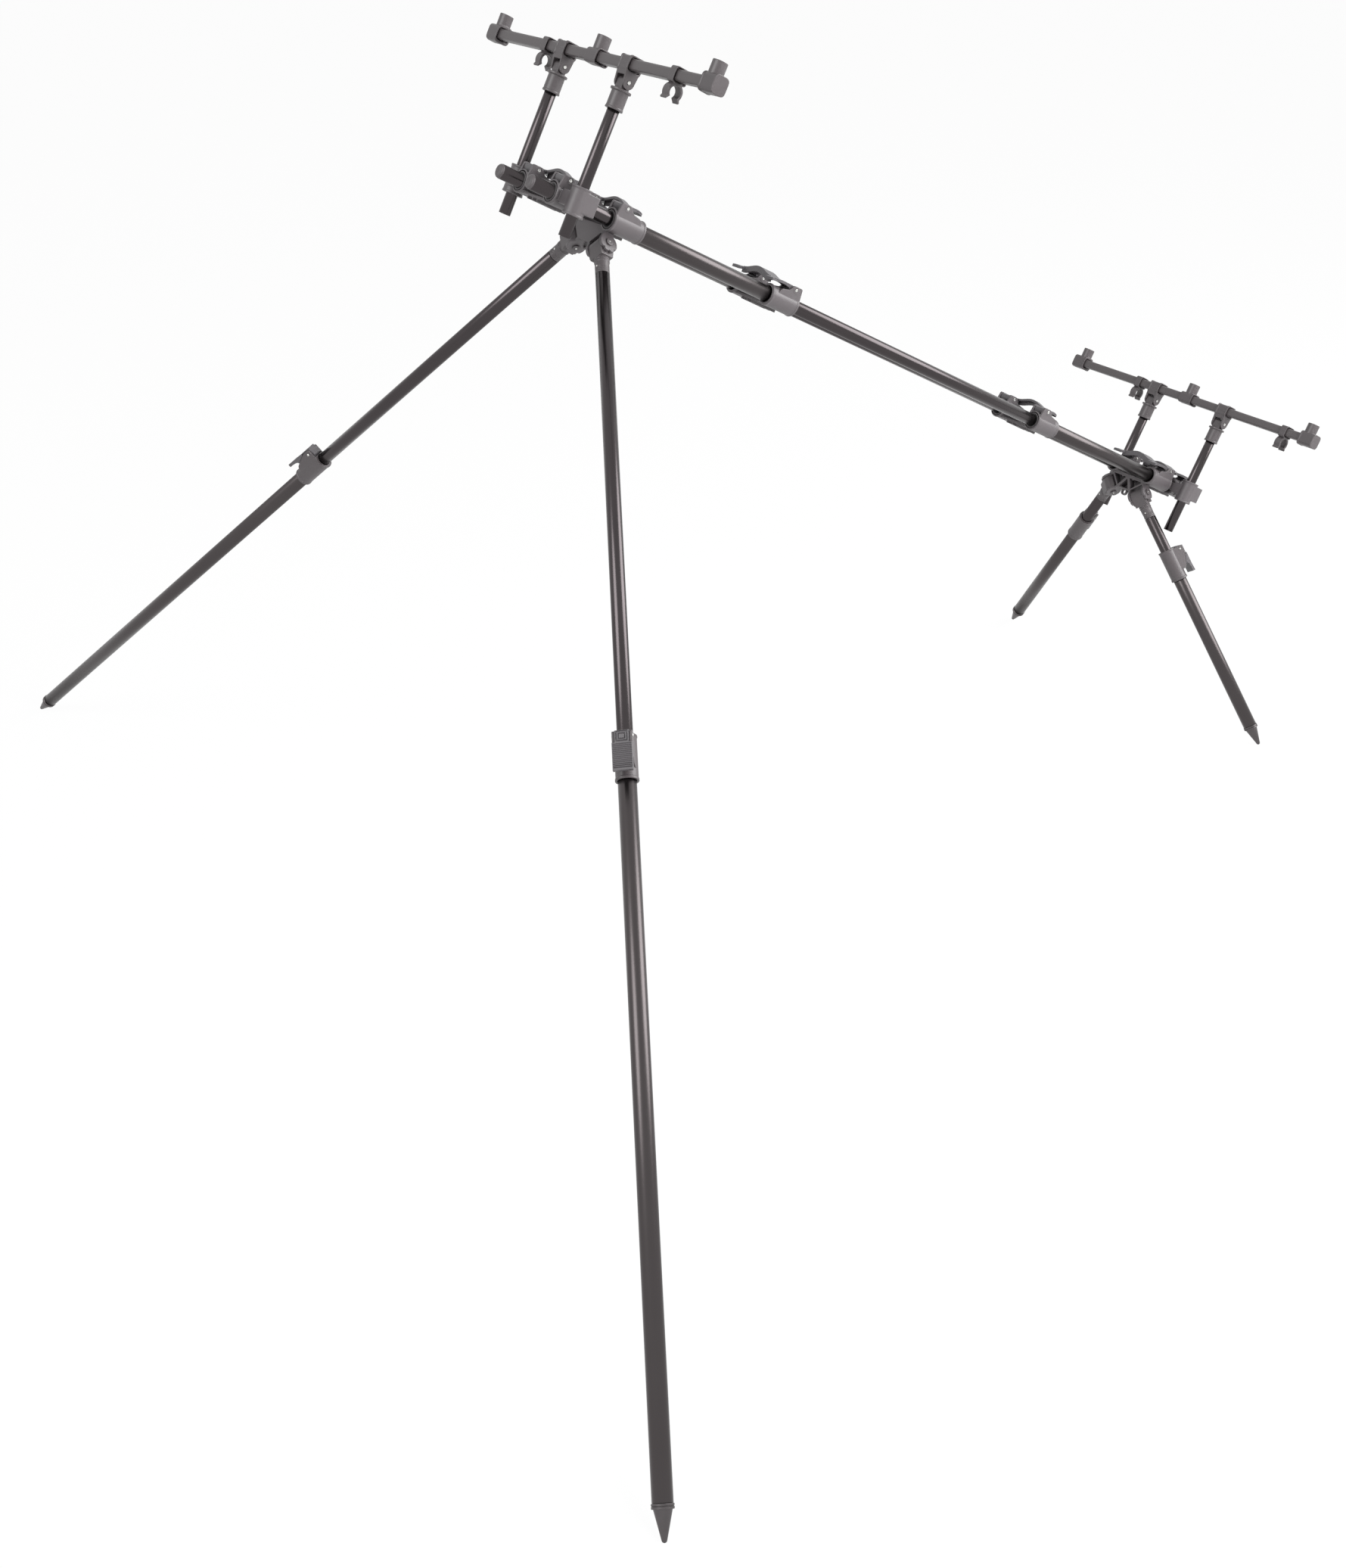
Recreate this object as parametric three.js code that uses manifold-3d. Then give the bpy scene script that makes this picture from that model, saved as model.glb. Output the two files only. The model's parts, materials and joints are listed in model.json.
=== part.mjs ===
// Fishing rod pod: twin telescopic rails on four telescopic legs, with two goalposts for rods.
// Millimetres. The pod's long side is X, the front (high) end is -X, and +Z is up.
// The rails and all they carry are drawn level and then tipped about Y until the four spikes stand on Z = 0.
import * as THREE from 'three';
import { mergeVertices } from 'three/addons/utils/BufferGeometryUtils.js';
import Module from 'manifold-3d';

const wasm = await Module();
wasm.setup();

// Fits and facets
const fit = 0.3;
const slideGap = 0.5;
const overrun = 2;
const tubeSides = 12;
const collarSides = 12;
const headSides = 8;
const smallSides = 6;
const cornerSteps = 1;

// Tubes
const railSpacing = 100;
const outerDiameter = 28;
const tubeWall = 1.5;
const innerDiameter = outerDiameter - 2 * (tubeWall + slideGap);
const uprightDiameter = 20;
const capLength = 4;
const capRound = 3;
const capInset = 0.5;
const plugLength = 14;

// Places along the rails, from the front leg pivots
const frontTipPlace = -174;
const frontGoalpostPivot = -114;
const frontHubPivot = 5.5;
const frontCentrePivot = 394;
const rearCentrePivot = 1123;
const rearHubPivot = 1564;
const rearGoalpostPivot = 1644;
const rearTipPlace = 1679;
const rearLegPlace = 1531;
const frontUprightPlace = -108;
const rearUprightPlace = 1602;
const frontInnerEnd = 90;
const centreInnerStart = 250;
const centreInnerEnd = 1310;
const rearInnerStart = 1440;

// Rail clamps, measured from the lever pivot
const collarDiameter = 38;
const clampMouth = 18;
const clampTail = 48;
const seatStop = 8;
const pivotHeight = 26;
const pinDiameter = 6;
const pinHead = 1;
const cheekThickness = 4.5;
const camWidth = 23;
const cheekFoot = 17;
const cheekNose = 13;
const cheekFootHeight = 8.6;
const earHeight = 32;
const earBack = 6;
const stepBack = 14;
const stepHeight = 22;
const cheekBack = 30;
const cheekBackHeight = 19;
const cheekHeel = 36;
const cheekCorner = 3;
const webThickness = 4;
const webTop = -13;
const webInset = 4;
const ribDepth = 5;
const ribThickness = 2.5;
const ribSpacing = 15;

// Clamp levers, measured from their pivot
const camPressGap = 0.6;
const camLift = 1.2;
const windowDepth = 1;
const windowHalf = 15;
const lockWindow = 2.2;
const camFirstAngle = -175;
const camLastAngle = 15;
const camSteps = 5;
const leverNose = 9;
const leverRise = 5;
const leverKneeRise = 6;
const leverTipRise = 8;
const leverThickness = 3.5;
const bowStart = 14;
const longArm = { knee: 24, bowEnd: 42, length: 57 };
const shortArm = { knee: 20, bowEnd: 27, length: 32 };
const bowRise = 8.5;
const bowSteps = 6;
const bowBite = 3;

// Hubs
const hubThickness = 22;
const hubPlate = 4;
const hubBottomHalf = 18;
const hubBottom = 46;
const hubShoulder = 19;
const hubRib = 3;
const eyeletDiameter = 15;
const eyeletHole = 9;
const eyeletThickness = 7;
const eyeletDrop = 51;
const earDiameter = 34;
const earThickness = 5;
const earBite = 4;
const notchDiameter = 5;
const notchFirstAngle = -135;
const notchStepAngle = 45;
const notchCount = 3;

// Legs
const legPivotOut = 43;
const legPivotDrop = 47;
const splayAngle = 42.2;
const frontLegAngle = -2;
const rearLegAngle = 30;
const frontLegLength = 1938;
const rearLegLength = 606;
const tongueDiameter = 30;
const tongueWidth = 29;
const neckLength = 22;
const sleeveDiameter = innerDiameter;
const sleeveEnd = 52;
const knucklePlugEnd = 82;
const legPinDiameter = 8;
const legPinHead = 13;
const legPinHeadHeight = 2.5;
const frontUpperOverlap = 150;
const rearUpperOverlap = 250;
const tipDiameter = 7.5;
const tipAngles = [0, 35, 70];
const coneStep = 1.5;
const coneDiameter = outerDiameter - 2 * coneStep;
const spikeLength = 46;
const bandStep = 1;
const bandDiameter = outerDiameter + 2 * bandStep;
const bandHeight = 7;

// Leg locks, measured from the mouth and from the tube's centre line
const lockMouths = { front_near: 858, front_far: 750, rear_near: 133, rear_far: 135 };
const lockLength = 70;
const lockWall = 3;
const lockDiameter = outerDiameter + 2 * lockWall;
const lockSeat = 30;
const lockTurn = 50;
const lockWidth = 30;
const lockSlotWidth = 22;
const lockPivotOut = 25;
const lockPivotDown = 9;
const lockEarOut = 32;
const lockEarTop = 2;
const lockEarBottom = 20;
const lockHeelOut = 21;
const lockHeelDown = 50;
const lockFootDown = 56;
const lockCorner = 4;
const lockFloorGap = 1;
const lockPinDiameter = 5;
const lockFace = 10;
const lockFaceTop = 7;
const lockFaceEnd = 32;
const lockLeverEnd = 48;
const lockTipFlare = 1;
const lockGripTop = 12.5;
const lockGripHeel = 33;
const lockTipThickness = 6;
const lockWaist = 18;
const lockWaistDepth = 4;
const lockCamTop = 125;
const lockCamBottom = 250;

// Goalposts: heights are above the rails' centre line
const uprightOut = 98;
const frontUprightBottom = -57;
const rearUprightBottom = -91;
const frontSleeveBottom = 148;
const rearSleeveBottom = 117;
const blockSleeveDiameter = 34;
const blockSleeveHalf = 23;
const blockReach = 28;
const blockBottom = -14;
const blockTop = 18;
const blockDepth = 26;
const blockCorner = 3;
const tongueHalfLength = 16;
const tongueHalfHeight = 8;
const flangeThickness = 4;
const flangeEnd = 70;
const boltHead = 10;
const boltSides = 6;
const boltHeadHeight = 4;
const boltOut = 75.5;
const topSleeveDiameter = 28;
const topSleeveLength = 30;
const topSleeveCover = 6;
const washerDiameter = 34;
const washerThickness = 1.6;
const barPinRise = 44;
const barRise = 26.6;
const barPinDiameter = 6;
const barTongueWidth = 19;
const barTongueHalf = 8;
const bracketEarThickness = 4;
const bracketEarHalf = 10.5;
const bracketTopHalf = 14;
const bracketWebGap = 1;

// Crossbars
const barWidth = 20;
const barHeight = 17;
const barCorner = 5;
const barWall = 2;
const frontBarNear = -341;
const frontBarFar = 346;
const rearBarNear = -340;
const rearBarFar = 352;
const fittingWall = 3.5;
const bracketLength = 28;
const headLength = 34;
const headEndWall = 3;
const insertFromEnd = 21.5;
const insertDiameter = 24;
const insertRise = 33;
const socketDiameter = 10.5;
const socketDepth = 20;
const clipWidth = 15;
const clipDiameter = 28;
const clipBore = 19;
const clipDrop = 24;
const clipMouthAngle = 84;
const clipLip = 4;
const clipLipTurn = 8;
const clipSteps = 5;
const frontClipPlaces = { '-1': -232, 1: 152 };
const rearClipPlaces = { '-1': -264, 1: 148 };

// Colours and finishes
const finishes = {
  outerTube: { color: 0x5c5f66, roughness: 0.34, metalness: 0.85 },
  innerTube: { color: 0x74777e, roughness: 0.2, metalness: 0.9 },
  casting: { color: 0x6e7076, roughness: 0.5, metalness: 0.35 },
  lever: { color: 0x62656b, roughness: 0.48, metalness: 0.2 },
  nylon: { color: 0x55575c, roughness: 0.6, metalness: 0 },
  steel: { color: 0x9a9ca1, roughness: 0.3, metalness: 1 },
};

const radians = THREE.MathUtils.degToRad;
const halfSpacing = railSpacing / 2;
const origin = new THREE.Vector3();

// Radius of a many-sided bore whose flats clear a round of this radius
function boreRadius(radius, sides = tubeSides) {
  return (radius + fit) / Math.cos(Math.PI / sides);
}

// A closed geometry as a solid, with shared corners merged and its faces pointing out
function solidOf(geometry) {
  geometry.deleteAttribute('normal');
  geometry.deleteAttribute('uv');
  const merged = mergeVertices(geometry);
  const places = merged.attributes.position.array;
  const corners = merged.index.array;
  const triangles = [];
  for (let i = 0; i < corners.length; i += 3) {
    const [a, b, c] = corners.slice(i, i + 3);
    if (a !== b && b !== c && c !== a) {
      triangles.push(a, b, c);
    }
  }
  if (signedVolume(places, triangles) < 0) {
    triangles.reverse();
  }
  const triVerts = new Uint32Array(triangles);
  return new wasm.Manifold(new wasm.Mesh({ numProp: 3, vertProperties: places, triVerts }));
}

function signedVolume(places, triangles) {
  const point = (i) => new THREE.Vector3().fromArray(places, 3 * i);
  let volume = 0;
  for (let i = 0; i < triangles.length; i += 3) {
    const [a, b, c] = triangles.slice(i, i + 3).map(point);
    volume += a.dot(b.cross(c));
  }
  return volume;
}

function join(first, ...others) {
  return others.reduce((whole, piece) => whole.add(piece), first);
}

function cut(body, ...tools) {
  return tools.reduce((rest, tool) => rest.subtract(tool), body);
}

// A round bar along one axis, between two places on it, about a centre line through centre
function rod(axis, radius, from, to, centre = origin, sides = tubeSides) {
  const geometry = new THREE.CylinderGeometry(radius, radius, to - from, sides);
  geometry.translate(0, (from + to) / 2, 0);
  if (axis === 'x') {
    geometry.rotateZ(-Math.PI / 2);
  }
  if (axis === 'z') {
    geometry.rotateX(Math.PI / 2);
  }
  geometry.translate(centre.x, centre.y, centre.z);
  return solidOf(geometry);
}

// A flat outline made thick along one axis; across x it lies in y and z, across y in x and z
function slab(axis, shape, from, to, curveSegments = cornerSteps) {
  const depth = to - from;
  const geometry = new THREE.ExtrudeGeometry(shape, { depth, bevelEnabled: false, curveSegments });
  if (axis === 'y') {
    geometry.translate(0, 0, -to);
    geometry.rotateX(Math.PI / 2);
  } else {
    geometry.translate(0, 0, from);
  }
  if (axis === 'x') {
    geometry.rotateX(Math.PI / 2);
    geometry.rotateZ(Math.PI / 2);
  }
  return solidOf(geometry);
}

function block(x0, x1, y0, y1, z0, z1) {
  const geometry = new THREE.BoxGeometry(x1 - x0, y1 - y0, z1 - z0);
  geometry.translate((x0 + x1) / 2, (y0 + y1) / 2, (z0 + z1) / 2);
  return solidOf(geometry);
}

// A solid of revolution about z through a list of radius and height pairs that starts and ends on the axis
function turned(profile, sides = tubeSides) {
  const points = profile.map(([radius, height]) => new THREE.Vector2(radius, height));
  const geometry = new THREE.LatheGeometry(points, sides);
  geometry.rotateX(Math.PI / 2);
  return solidOf(geometry);
}

// A closed outline whose corners are rounded by one radius, or less where a side is short
function outline(corners, radius) {
  const shape = new THREE.Shape();
  const points = corners.map(([x, y]) => new THREE.Vector2(x, y));
  points.forEach((corner, i) => {
    const before = points[(i + points.length - 1) % points.length];
    const after = points[(i + 1) % points.length];
    const start = stepTowards(corner, before, radius);
    const end = stepTowards(corner, after, radius);
    if (i === 0) {
      shape.moveTo(start.x, start.y);
    } else {
      shape.lineTo(start.x, start.y);
    }
    shape.quadraticCurveTo(corner.x, corner.y, end.x, end.y);
  });
  shape.closePath();
  return shape;
}

function stepTowards(corner, other, radius) {
  const step = other.clone().sub(corner);
  return step.setLength(Math.min(radius, step.length() / 2)).add(corner);
}

function polygon(points) {
  return new THREE.Shape(points.map(([x, y]) => new THREE.Vector2(x, y)));
}

// A rectangle with round corners about a centre, by its half sizes
function roundedBox(x, y, halfX, halfY, radius) {
  const corners = [
    [x + halfX, y + halfY],
    [x - halfX, y + halfY],
    [x - halfX, y - halfY],
    [x + halfX, y - halfY],
  ];
  return outline(corners, radius);
}

// A straight tube with open ends
function tube(axis, diameter, from, to, centre = origin) {
  const bore = (diameter / 2 - tubeWall) / Math.cos(Math.PI / tubeSides);
  const outside = rod(axis, diameter / 2, from, to, centre);
  return cut(outside, rod(axis, bore, from - overrun, to + overrun, centre));
}

function mesh(name, solid, finish) {
  const { vertProperties, triVerts } = solid.getMesh();
  const geometry = new THREE.BufferGeometry();
  geometry.setAttribute('position', new THREE.BufferAttribute(new Float32Array(vertProperties), 3));
  geometry.setIndex(new THREE.BufferAttribute(new Uint32Array(triVerts), 1));
  geometry.computeVertexNormals();
  const piece = new THREE.Mesh(geometry, new THREE.MeshStandardMaterial(finishes[finish]));
  piece.name = name;
  return piece;
}

// The near side of the pod is -Y and the far side is +Y
const sides = [-1, 1];
const sideNames = { '-1': 'near', 1: 'far' };
const railCentre = (side) => new THREE.Vector3(0, side * halfSpacing, 0);

// Rails
function rails(end, kind, diameter, from, to, finish) {
  return sides.map((side) => {
    const rail = tube('x', diameter, from, to, railCentre(side));
    return mesh(`${end}_${sideNames[side]}_${kind}_rail`, rail, finish);
  });
}

// The two end rails, each closed by a domed plug; outward is -1 at the front and 1 at the rear
function cappedRails(name, tip, inner, outward) {
  const radius = innerDiameter / 2 - capInset;
  const profile = [
    [0, 0],
    [radius - capRound, 0],
    [radius, capRound],
    [radius, capLength + plugLength],
    [0, capLength + plugLength],
  ];
  const tubeStart = tip - outward * capLength;
  const [from, to] = [Math.min(tubeStart, inner), Math.max(tubeStart, inner)];
  return sides.map((side) => {
    const points = profile.map(([r, h]) => new THREE.Vector2(r, h));
    const geometry = new THREE.LatheGeometry(points, tubeSides);
    geometry.rotateZ((outward * Math.PI) / 2);
    geometry.translate(tip, side * halfSpacing, 0);
    const rail = join(tube('x', innerDiameter, from, to, railCentre(side)), solidOf(geometry));
    return mesh(`${name}_${sideNames[side]}_inner_rail`, rail, 'innerTube');
  });
}

// Rail clamps, drawn with the lever pivot over x = 0 and the mouth towards +x
function cheekShape() {
  const shape = new THREE.Shape();
  shape.moveTo(cheekFoot, cheekFootHeight);
  shape.lineTo(cheekNose, earHeight - cheekCorner);
  shape.quadraticCurveTo(cheekNose, earHeight, cheekNose - cheekCorner, earHeight);
  shape.lineTo(-earBack, earHeight);
  shape.lineTo(-stepBack, stepHeight);
  shape.lineTo(-cheekBack, cheekBackHeight);
  shape.lineTo(-cheekHeel, cheekFootHeight);
  shape.closePath();
  return shape;
}

function clampCheeks() {
  const inner = camWidth / 2 + slideGap;
  const cheeks = [];
  for (const rail of [-halfSpacing, halfSpacing]) {
    for (const side of sides) {
      const near = rail + side * inner;
      const far = near + side * cheekThickness;
      cheeks.push(slab('y', cheekShape(), Math.min(near, far), Math.max(near, far)));
    }
  }
  return join(...cheeks);
}

function clampWeb() {
  const bottom = webTop - webThickness;
  const half = halfSpacing - Math.sqrt((collarDiameter / 2) ** 2 - bottom ** 2);
  const from = -clampTail + webInset;
  const to = clampMouth - webInset;
  const ribs = [-ribSpacing, 0, ribSpacing].map((y) => {
    const ribTop = bottom + overrun;
    return block(from, to, y - ribThickness / 2, y + ribThickness / 2, bottom - ribDepth, ribTop);
  });
  return join(block(from, to, -half, half, bottom, webTop), ...ribs);
}

// What both rails and the cams need free: tube bores, the outer tubes' seats, cam windows and pin holes
function clampCuts(seated, tail = clampTail) {
  const pinBore = boreRadius(pinDiameter / 2, smallSides);
  const floor = innerDiameter / 2 - windowDepth;
  const cuts = [];
  for (const side of sides) {
    const centre = railCentre(side);
    const pivot = new THREE.Vector3(0, 0, pivotHeight);
    const inner = boreRadius(innerDiameter / 2);
    cuts.push(rod('x', inner, -tail - overrun, clampMouth + overrun, centre));
    if (seated) {
      cuts.push(rod('x', boreRadius(outerDiameter / 2), -tail - overrun, -seatStop, centre));
    }
    const camHalf = camWidth / 2 + fit;
    const rail = side * halfSpacing;
    cuts.push(block(-windowHalf, windowHalf, rail - camHalf, rail + camHalf, floor, collarDiameter));
    const reach = camHalf + cheekThickness + overrun;
    cuts.push(rod('y', pinBore, rail - reach, rail + reach, pivot, smallSides));
  }
  return cuts;
}

function clampCollars() {
  const collars = sides.map((side) => {
    return rod('x', collarDiameter / 2, -clampTail, clampMouth, railCentre(side), collarSides);
  });
  return join(...collars, clampWeb(), clampCheeks());
}

function camRadius() {
  return pivotHeight - innerDiameter / 2 - camPressGap;
}

// The cam and arm over one rail, seen from the side; the cam bears on the tube when the lever is shut
function leverSide(arm) {
  const shape = new THREE.Shape();
  for (let i = 0; i <= camSteps; i += 1) {
    const angle = radians(camFirstAngle + ((camLastAngle - camFirstAngle) * i) / camSteps);
    const radius = camRadius() - (camLift * (1 + Math.sin(angle))) / 2;
    const x = radius * Math.cos(angle);
    const z = pivotHeight + radius * Math.sin(angle);
    if (i === 0) {
      shape.moveTo(x, z);
    } else {
      shape.lineTo(x, z);
    }
  }
  shape.lineTo(leverNose, pivotHeight + leverRise);
  const top = pivotHeight + leverKneeRise;
  const tipTop = pivotHeight + leverTipRise;
  const underside = top - leverThickness;
  shape.lineTo(-arm.knee, top);
  shape.quadraticCurveTo(-arm.bowEnd, top, -arm.length, tipTop);
  shape.lineTo(-arm.length, tipTop - leverThickness);
  shape.quadraticCurveTo(-arm.bowEnd, underside, -arm.knee, underside);
  shape.closePath();
  return shape;
}

// The bow that joins the two arms, arched across the gap between the rails
function leverBow(arm) {
  const half = halfSpacing - camWidth / 2 + bowBite;
  const base = pivotHeight + leverKneeRise - leverThickness;
  const arch = (y) => base + (bowRise * (1 + Math.cos((Math.PI * y) / half))) / 2;
  const shape = new THREE.Shape();
  shape.moveTo(-half, arch(-half));
  for (let i = 1; i <= bowSteps; i += 1) {
    const y = -half + (2 * half * i) / bowSteps;
    shape.lineTo(y, arch(y));
  }
  for (let i = bowSteps; i >= 0; i -= 1) {
    const y = -half + (2 * half * i) / bowSteps;
    shape.lineTo(y, arch(y) + leverThickness);
  }
  shape.closePath();
  return slab('x', shape, -arm.bowEnd, -bowStart);
}

function clampLever(arm) {
  const pivot = new THREE.Vector3(0, 0, pivotHeight);
  const pinHalf = camWidth / 2 + slideGap + cheekThickness + pinHead;
  const pieces = [leverBow(arm)];
  for (const side of sides) {
    const rail = side * halfSpacing;
    pieces.push(slab('y', leverSide(arm), rail - camWidth / 2, rail + camWidth / 2));
    pieces.push(rod('y', pinDiameter / 2, rail - pinHalf, rail + pinHalf, pivot, smallSides));
  }
  return join(...pieces);
}

// Hubs
const splay = radians(splayAngle);

// The frame of a leg at a hub: z up the leg, y along its hinge pin and away from the pod, leaned by angle
function legFrame(place, side, angle) {
  const up = new THREE.Vector3(0, -side * Math.sin(splay), Math.cos(splay));
  const pin = new THREE.Vector3(0, side * Math.cos(splay), Math.sin(splay));
  const across = new THREE.Vector3().crossVectors(pin, up);
  const frame = new THREE.Matrix4().makeBasis(across, pin, up);
  frame.multiply(new THREE.Matrix4().makeRotationY(-side * angle));
  return frame.setPosition(place, side * legPivotOut, -legPivotDrop);
}

// How far the slanted side of the hub stays above the leg's hinge pin
function sideAbovePin() {
  const out = legPivotOut - hubBottomHalf;
  const down = legPivotDrop - hubBottom;
  return out * Math.sin(splay) + down * Math.cos(splay);
}

function moved(solid, frame) {
  const { vertProperties, triVerts } = solid.getMesh();
  const geometry = new THREE.BufferGeometry();
  geometry.setAttribute('position', new THREE.BufferAttribute(new Float32Array(vertProperties), 3));
  geometry.setIndex(new THREE.BufferAttribute(new Uint32Array(triVerts), 1));
  geometry.applyMatrix4(frame);
  return solidOf(geometry);
}

// Two notched ears for one leg, with the hole for its hinge pin
function legEars() {
  const half = tongueWidth / 2 + slideGap;
  const far = half + earThickness;
  const root = sideAbovePin() + earBite;
  const ears = [];
  for (const [from, to] of [[-far, -half], [half, far]]) {
    ears.push(rod('y', earDiameter / 2, from, to, origin, collarSides));
    ears.push(block(-hubThickness / 2, hubThickness / 2, from, to, 0, root));
  }
  const bore = boreRadius(legPinDiameter / 2, headSides);
  const cuts = [rod('y', bore, -far - overrun, far + overrun, origin, headSides)];
  for (let i = 0; i < notchCount; i += 1) {
    const angle = radians(notchFirstAngle + i * notchStepAngle);
    const place = new THREE.Vector3(Math.cos(angle), 0, Math.sin(angle));
    place.multiplyScalar(earDiameter / 2);
    cuts.push(rod('y', notchDiameter / 2, -far - overrun, far + overrun, place, smallSides));
  }
  return cut(join(...ears), ...cuts);
}

// A triangle drawn in by the same amount from its three sides
function innerTriangle(points, inset) {
  const [a, b, c] = points.map(([x, y]) => new THREE.Vector2(x, y));
  const [la, lb, lc] = [b.distanceTo(c), c.distanceTo(a), a.distanceTo(b)];
  const around = la + lb + lc;
  const centre = new THREE.Vector2();
  centre.addScaledVector(a, la / around).addScaledVector(b, lb / around).addScaledVector(c, lc / around);
  const area = Math.abs((b.x - a.x) * (c.y - a.y) - (c.x - a.x) * (b.y - a.y)) / 2;
  const shrink = 1 - (inset * around) / (2 * area);
  return [a, b, c].map((point) => point.sub(centre).multiplyScalar(shrink).add(centre).toArray());
}

// The ribbed truss that spreads the legs, closed on its mouth side and open on the other
function hubTruss(place) {
  const topHalf = hubBottomHalf + (hubBottom - hubShoulder) / Math.tan(splay);
  const plain = [
    [-topHalf, webTop],
    [-topHalf, -hubShoulder],
    [-hubBottomHalf, -hubBottom],
    [hubBottomHalf, -hubBottom],
    [topHalf, -hubShoulder],
    [topHalf, webTop],
  ];
  const from = place - hubThickness / 2;
  const to = place + hubThickness / 2;
  const body = slab('x', polygon(plain), from, to);
  const top = webTop - webThickness;
  const pockets = [
    [[-topHalf, top], [-hubBottomHalf, -hubBottom], [0, top]],
    [[0, top], [-hubBottomHalf, -hubBottom], [hubBottomHalf, -hubBottom]],
    [[0, top], [hubBottomHalf, -hubBottom], [topHalf, top]],
  ];
  const cuts = pockets.map((corners) => {
    return slab('x', polygon(innerTriangle(corners, hubRib)), from - overrun, to - hubPlate);
  });
  return cut(body, ...cuts);
}

function hubEyelet(place) {
  const centre = new THREE.Vector3(0, 0, -eyeletDrop);
  const half = eyeletThickness / 2;
  const ring = rod('x', eyeletDiameter / 2, place - half, place + half, centre, tubeSides);
  const hole = rod('x', eyeletHole / 2, place - hubThickness, place + hubThickness, centre, headSides);
  return { ring, hole };
}

function hubBody(place) {
  const eyelet = hubEyelet(place);
  const ears = sides.map((side) => moved(legEars(), legFrame(place, side, 0)));
  const whole = join(clampCollars(), hubTruss(place), eyelet.ring, ...ears);
  return cut(whole, eyelet.hole, ...clampCuts(true));
}

// A goalpost clamp with the sleeve blocks that are bolted to its flanges and hold the uprights
function goalpostClampBody(place, mouth) {
  const arms = sides.map((side) => moved(sleeveBlock(side, mouth), uprightFrame(place, side)));
  const bore = boreRadius(uprightDiameter / 2);
  const bores = sides.map((side) => {
    const centre = new THREE.Vector3(place, side * uprightOut, 0);
    return rod('z', bore, -blockSleeveHalf - overrun, blockSleeveHalf + overrun, centre);
  });
  const tail = Math.max(clampTail, tongueHalfLength - place);
  return cut(join(clampCollars(), ...arms), ...clampCuts(false, tail), ...bores);
}

function uprightFrame(place, side) {
  return new THREE.Matrix4().makeTranslation(place, side * uprightOut, 0);
}

// One sleeve block about its upright, with its square block, flange and bolt heads
function sleeveBlock(side, mouth) {
  const outer = blockSleeveDiameter / 2;
  const middle = side * (outer - blockDepth / 2);
  const halfReach = blockReach / 2;
  const squareShape = roundedBox(mouth * halfReach, middle, halfReach, blockDepth / 2, blockCorner);
  const reach = uprightOut - flangeEnd;
  const flangeShape = roundedBox(0, (-side * reach) / 2, tongueHalfLength, reach / 2, blockCorner);
  const root = uprightOut - halfSpacing;
  const rootShape = roundedBox(0, (-side * root) / 2, tongueHalfLength, root / 2, blockCorner);
  const flangeTop = tongueHalfHeight + flangeThickness;
  const headTop = flangeTop + boltHeadHeight;
  const bolt = new THREE.Vector3(0, side * (boltOut - uprightOut), 0);
  return join(
    rod('z', outer, -blockSleeveHalf, blockSleeveHalf, origin, collarSides),
    slab('z', squareShape, blockBottom, blockTop),
    slab('z', flangeShape, -flangeTop, flangeTop),
    slab('z', rootShape, -tongueHalfHeight, tongueHalfHeight),
    rod('z', boltHead / 2, -headTop, headTop, bolt, boltSides),
  );
}

// An upright tube with its top sleeve, washer, tongue and hinge pin; heights from the rails' centre line
function upright(bottom, sleeveBottom) {
  const sleeveTop = sleeveBottom + topSleeveLength;
  const pinHeight = sleeveBottom + barPinRise;
  const pinHalf = barTongueWidth / 2 + slideGap + bracketEarThickness + pinHead;
  const pin = new THREE.Vector3(0, 0, pinHeight);
  const shape = new THREE.Shape();
  shape.moveTo(-barTongueHalf, sleeveTop);
  shape.lineTo(barTongueHalf, sleeveTop);
  shape.absarc(0, pinHeight, barTongueHalf, 0, Math.PI, false);
  shape.closePath();
  return join(
    tube('z', uprightDiameter, bottom, sleeveBottom + topSleeveCover),
    rod('z', topSleeveDiameter / 2, sleeveBottom, sleeveTop),
    rod('z', washerDiameter / 2, sleeveTop - overrun, sleeveTop + washerThickness),
    slab('y', shape, -barTongueWidth / 2, barTongueWidth / 2, camSteps),
    rod('y', barPinDiameter / 2, -pinHalf, pinHalf, pin, smallSides),
  );
}

// Crossbar fittings are drawn about the bar's centre, with the bar along y
function barHole(from, to) {
  const shape = roundedBox(0, 0, barWidth / 2 + fit, barHeight / 2 + fit, barCorner);
  return slab('y', shape, from, to);
}

// The bar's hollow, open at both ends
function barHollow(from, to) {
  const shape = roundedBox(0, 0, barWidth / 2 - barWall, barHeight / 2 - barWall, barCorner - barWall);
  return slab('y', shape, from - overrun, to + overrun);
}

// The crossbar with its two hinge brackets and middle rod head
function crossbar(from, to, middle) {
  const bar = slab('y', roundedBox(0, 0, barWidth / 2, barHeight / 2, barCorner), from, to);
  const brackets = sides.map((side) => moved(barBracket(), uprightFrame(0, side)));
  const head = rodHead(middle - headLength / 2, middle + headLength / 2, middle);
  return cut(join(bar, ...brackets, head), barHollow(from, to));
}

function barCollar(from, to) {
  const halfX = barWidth / 2 + fittingWall;
  const halfZ = barHeight / 2 + fittingWall;
  return slab('y', roundedBox(0, 0, halfX, halfZ, barCorner), from, to);
}

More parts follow.
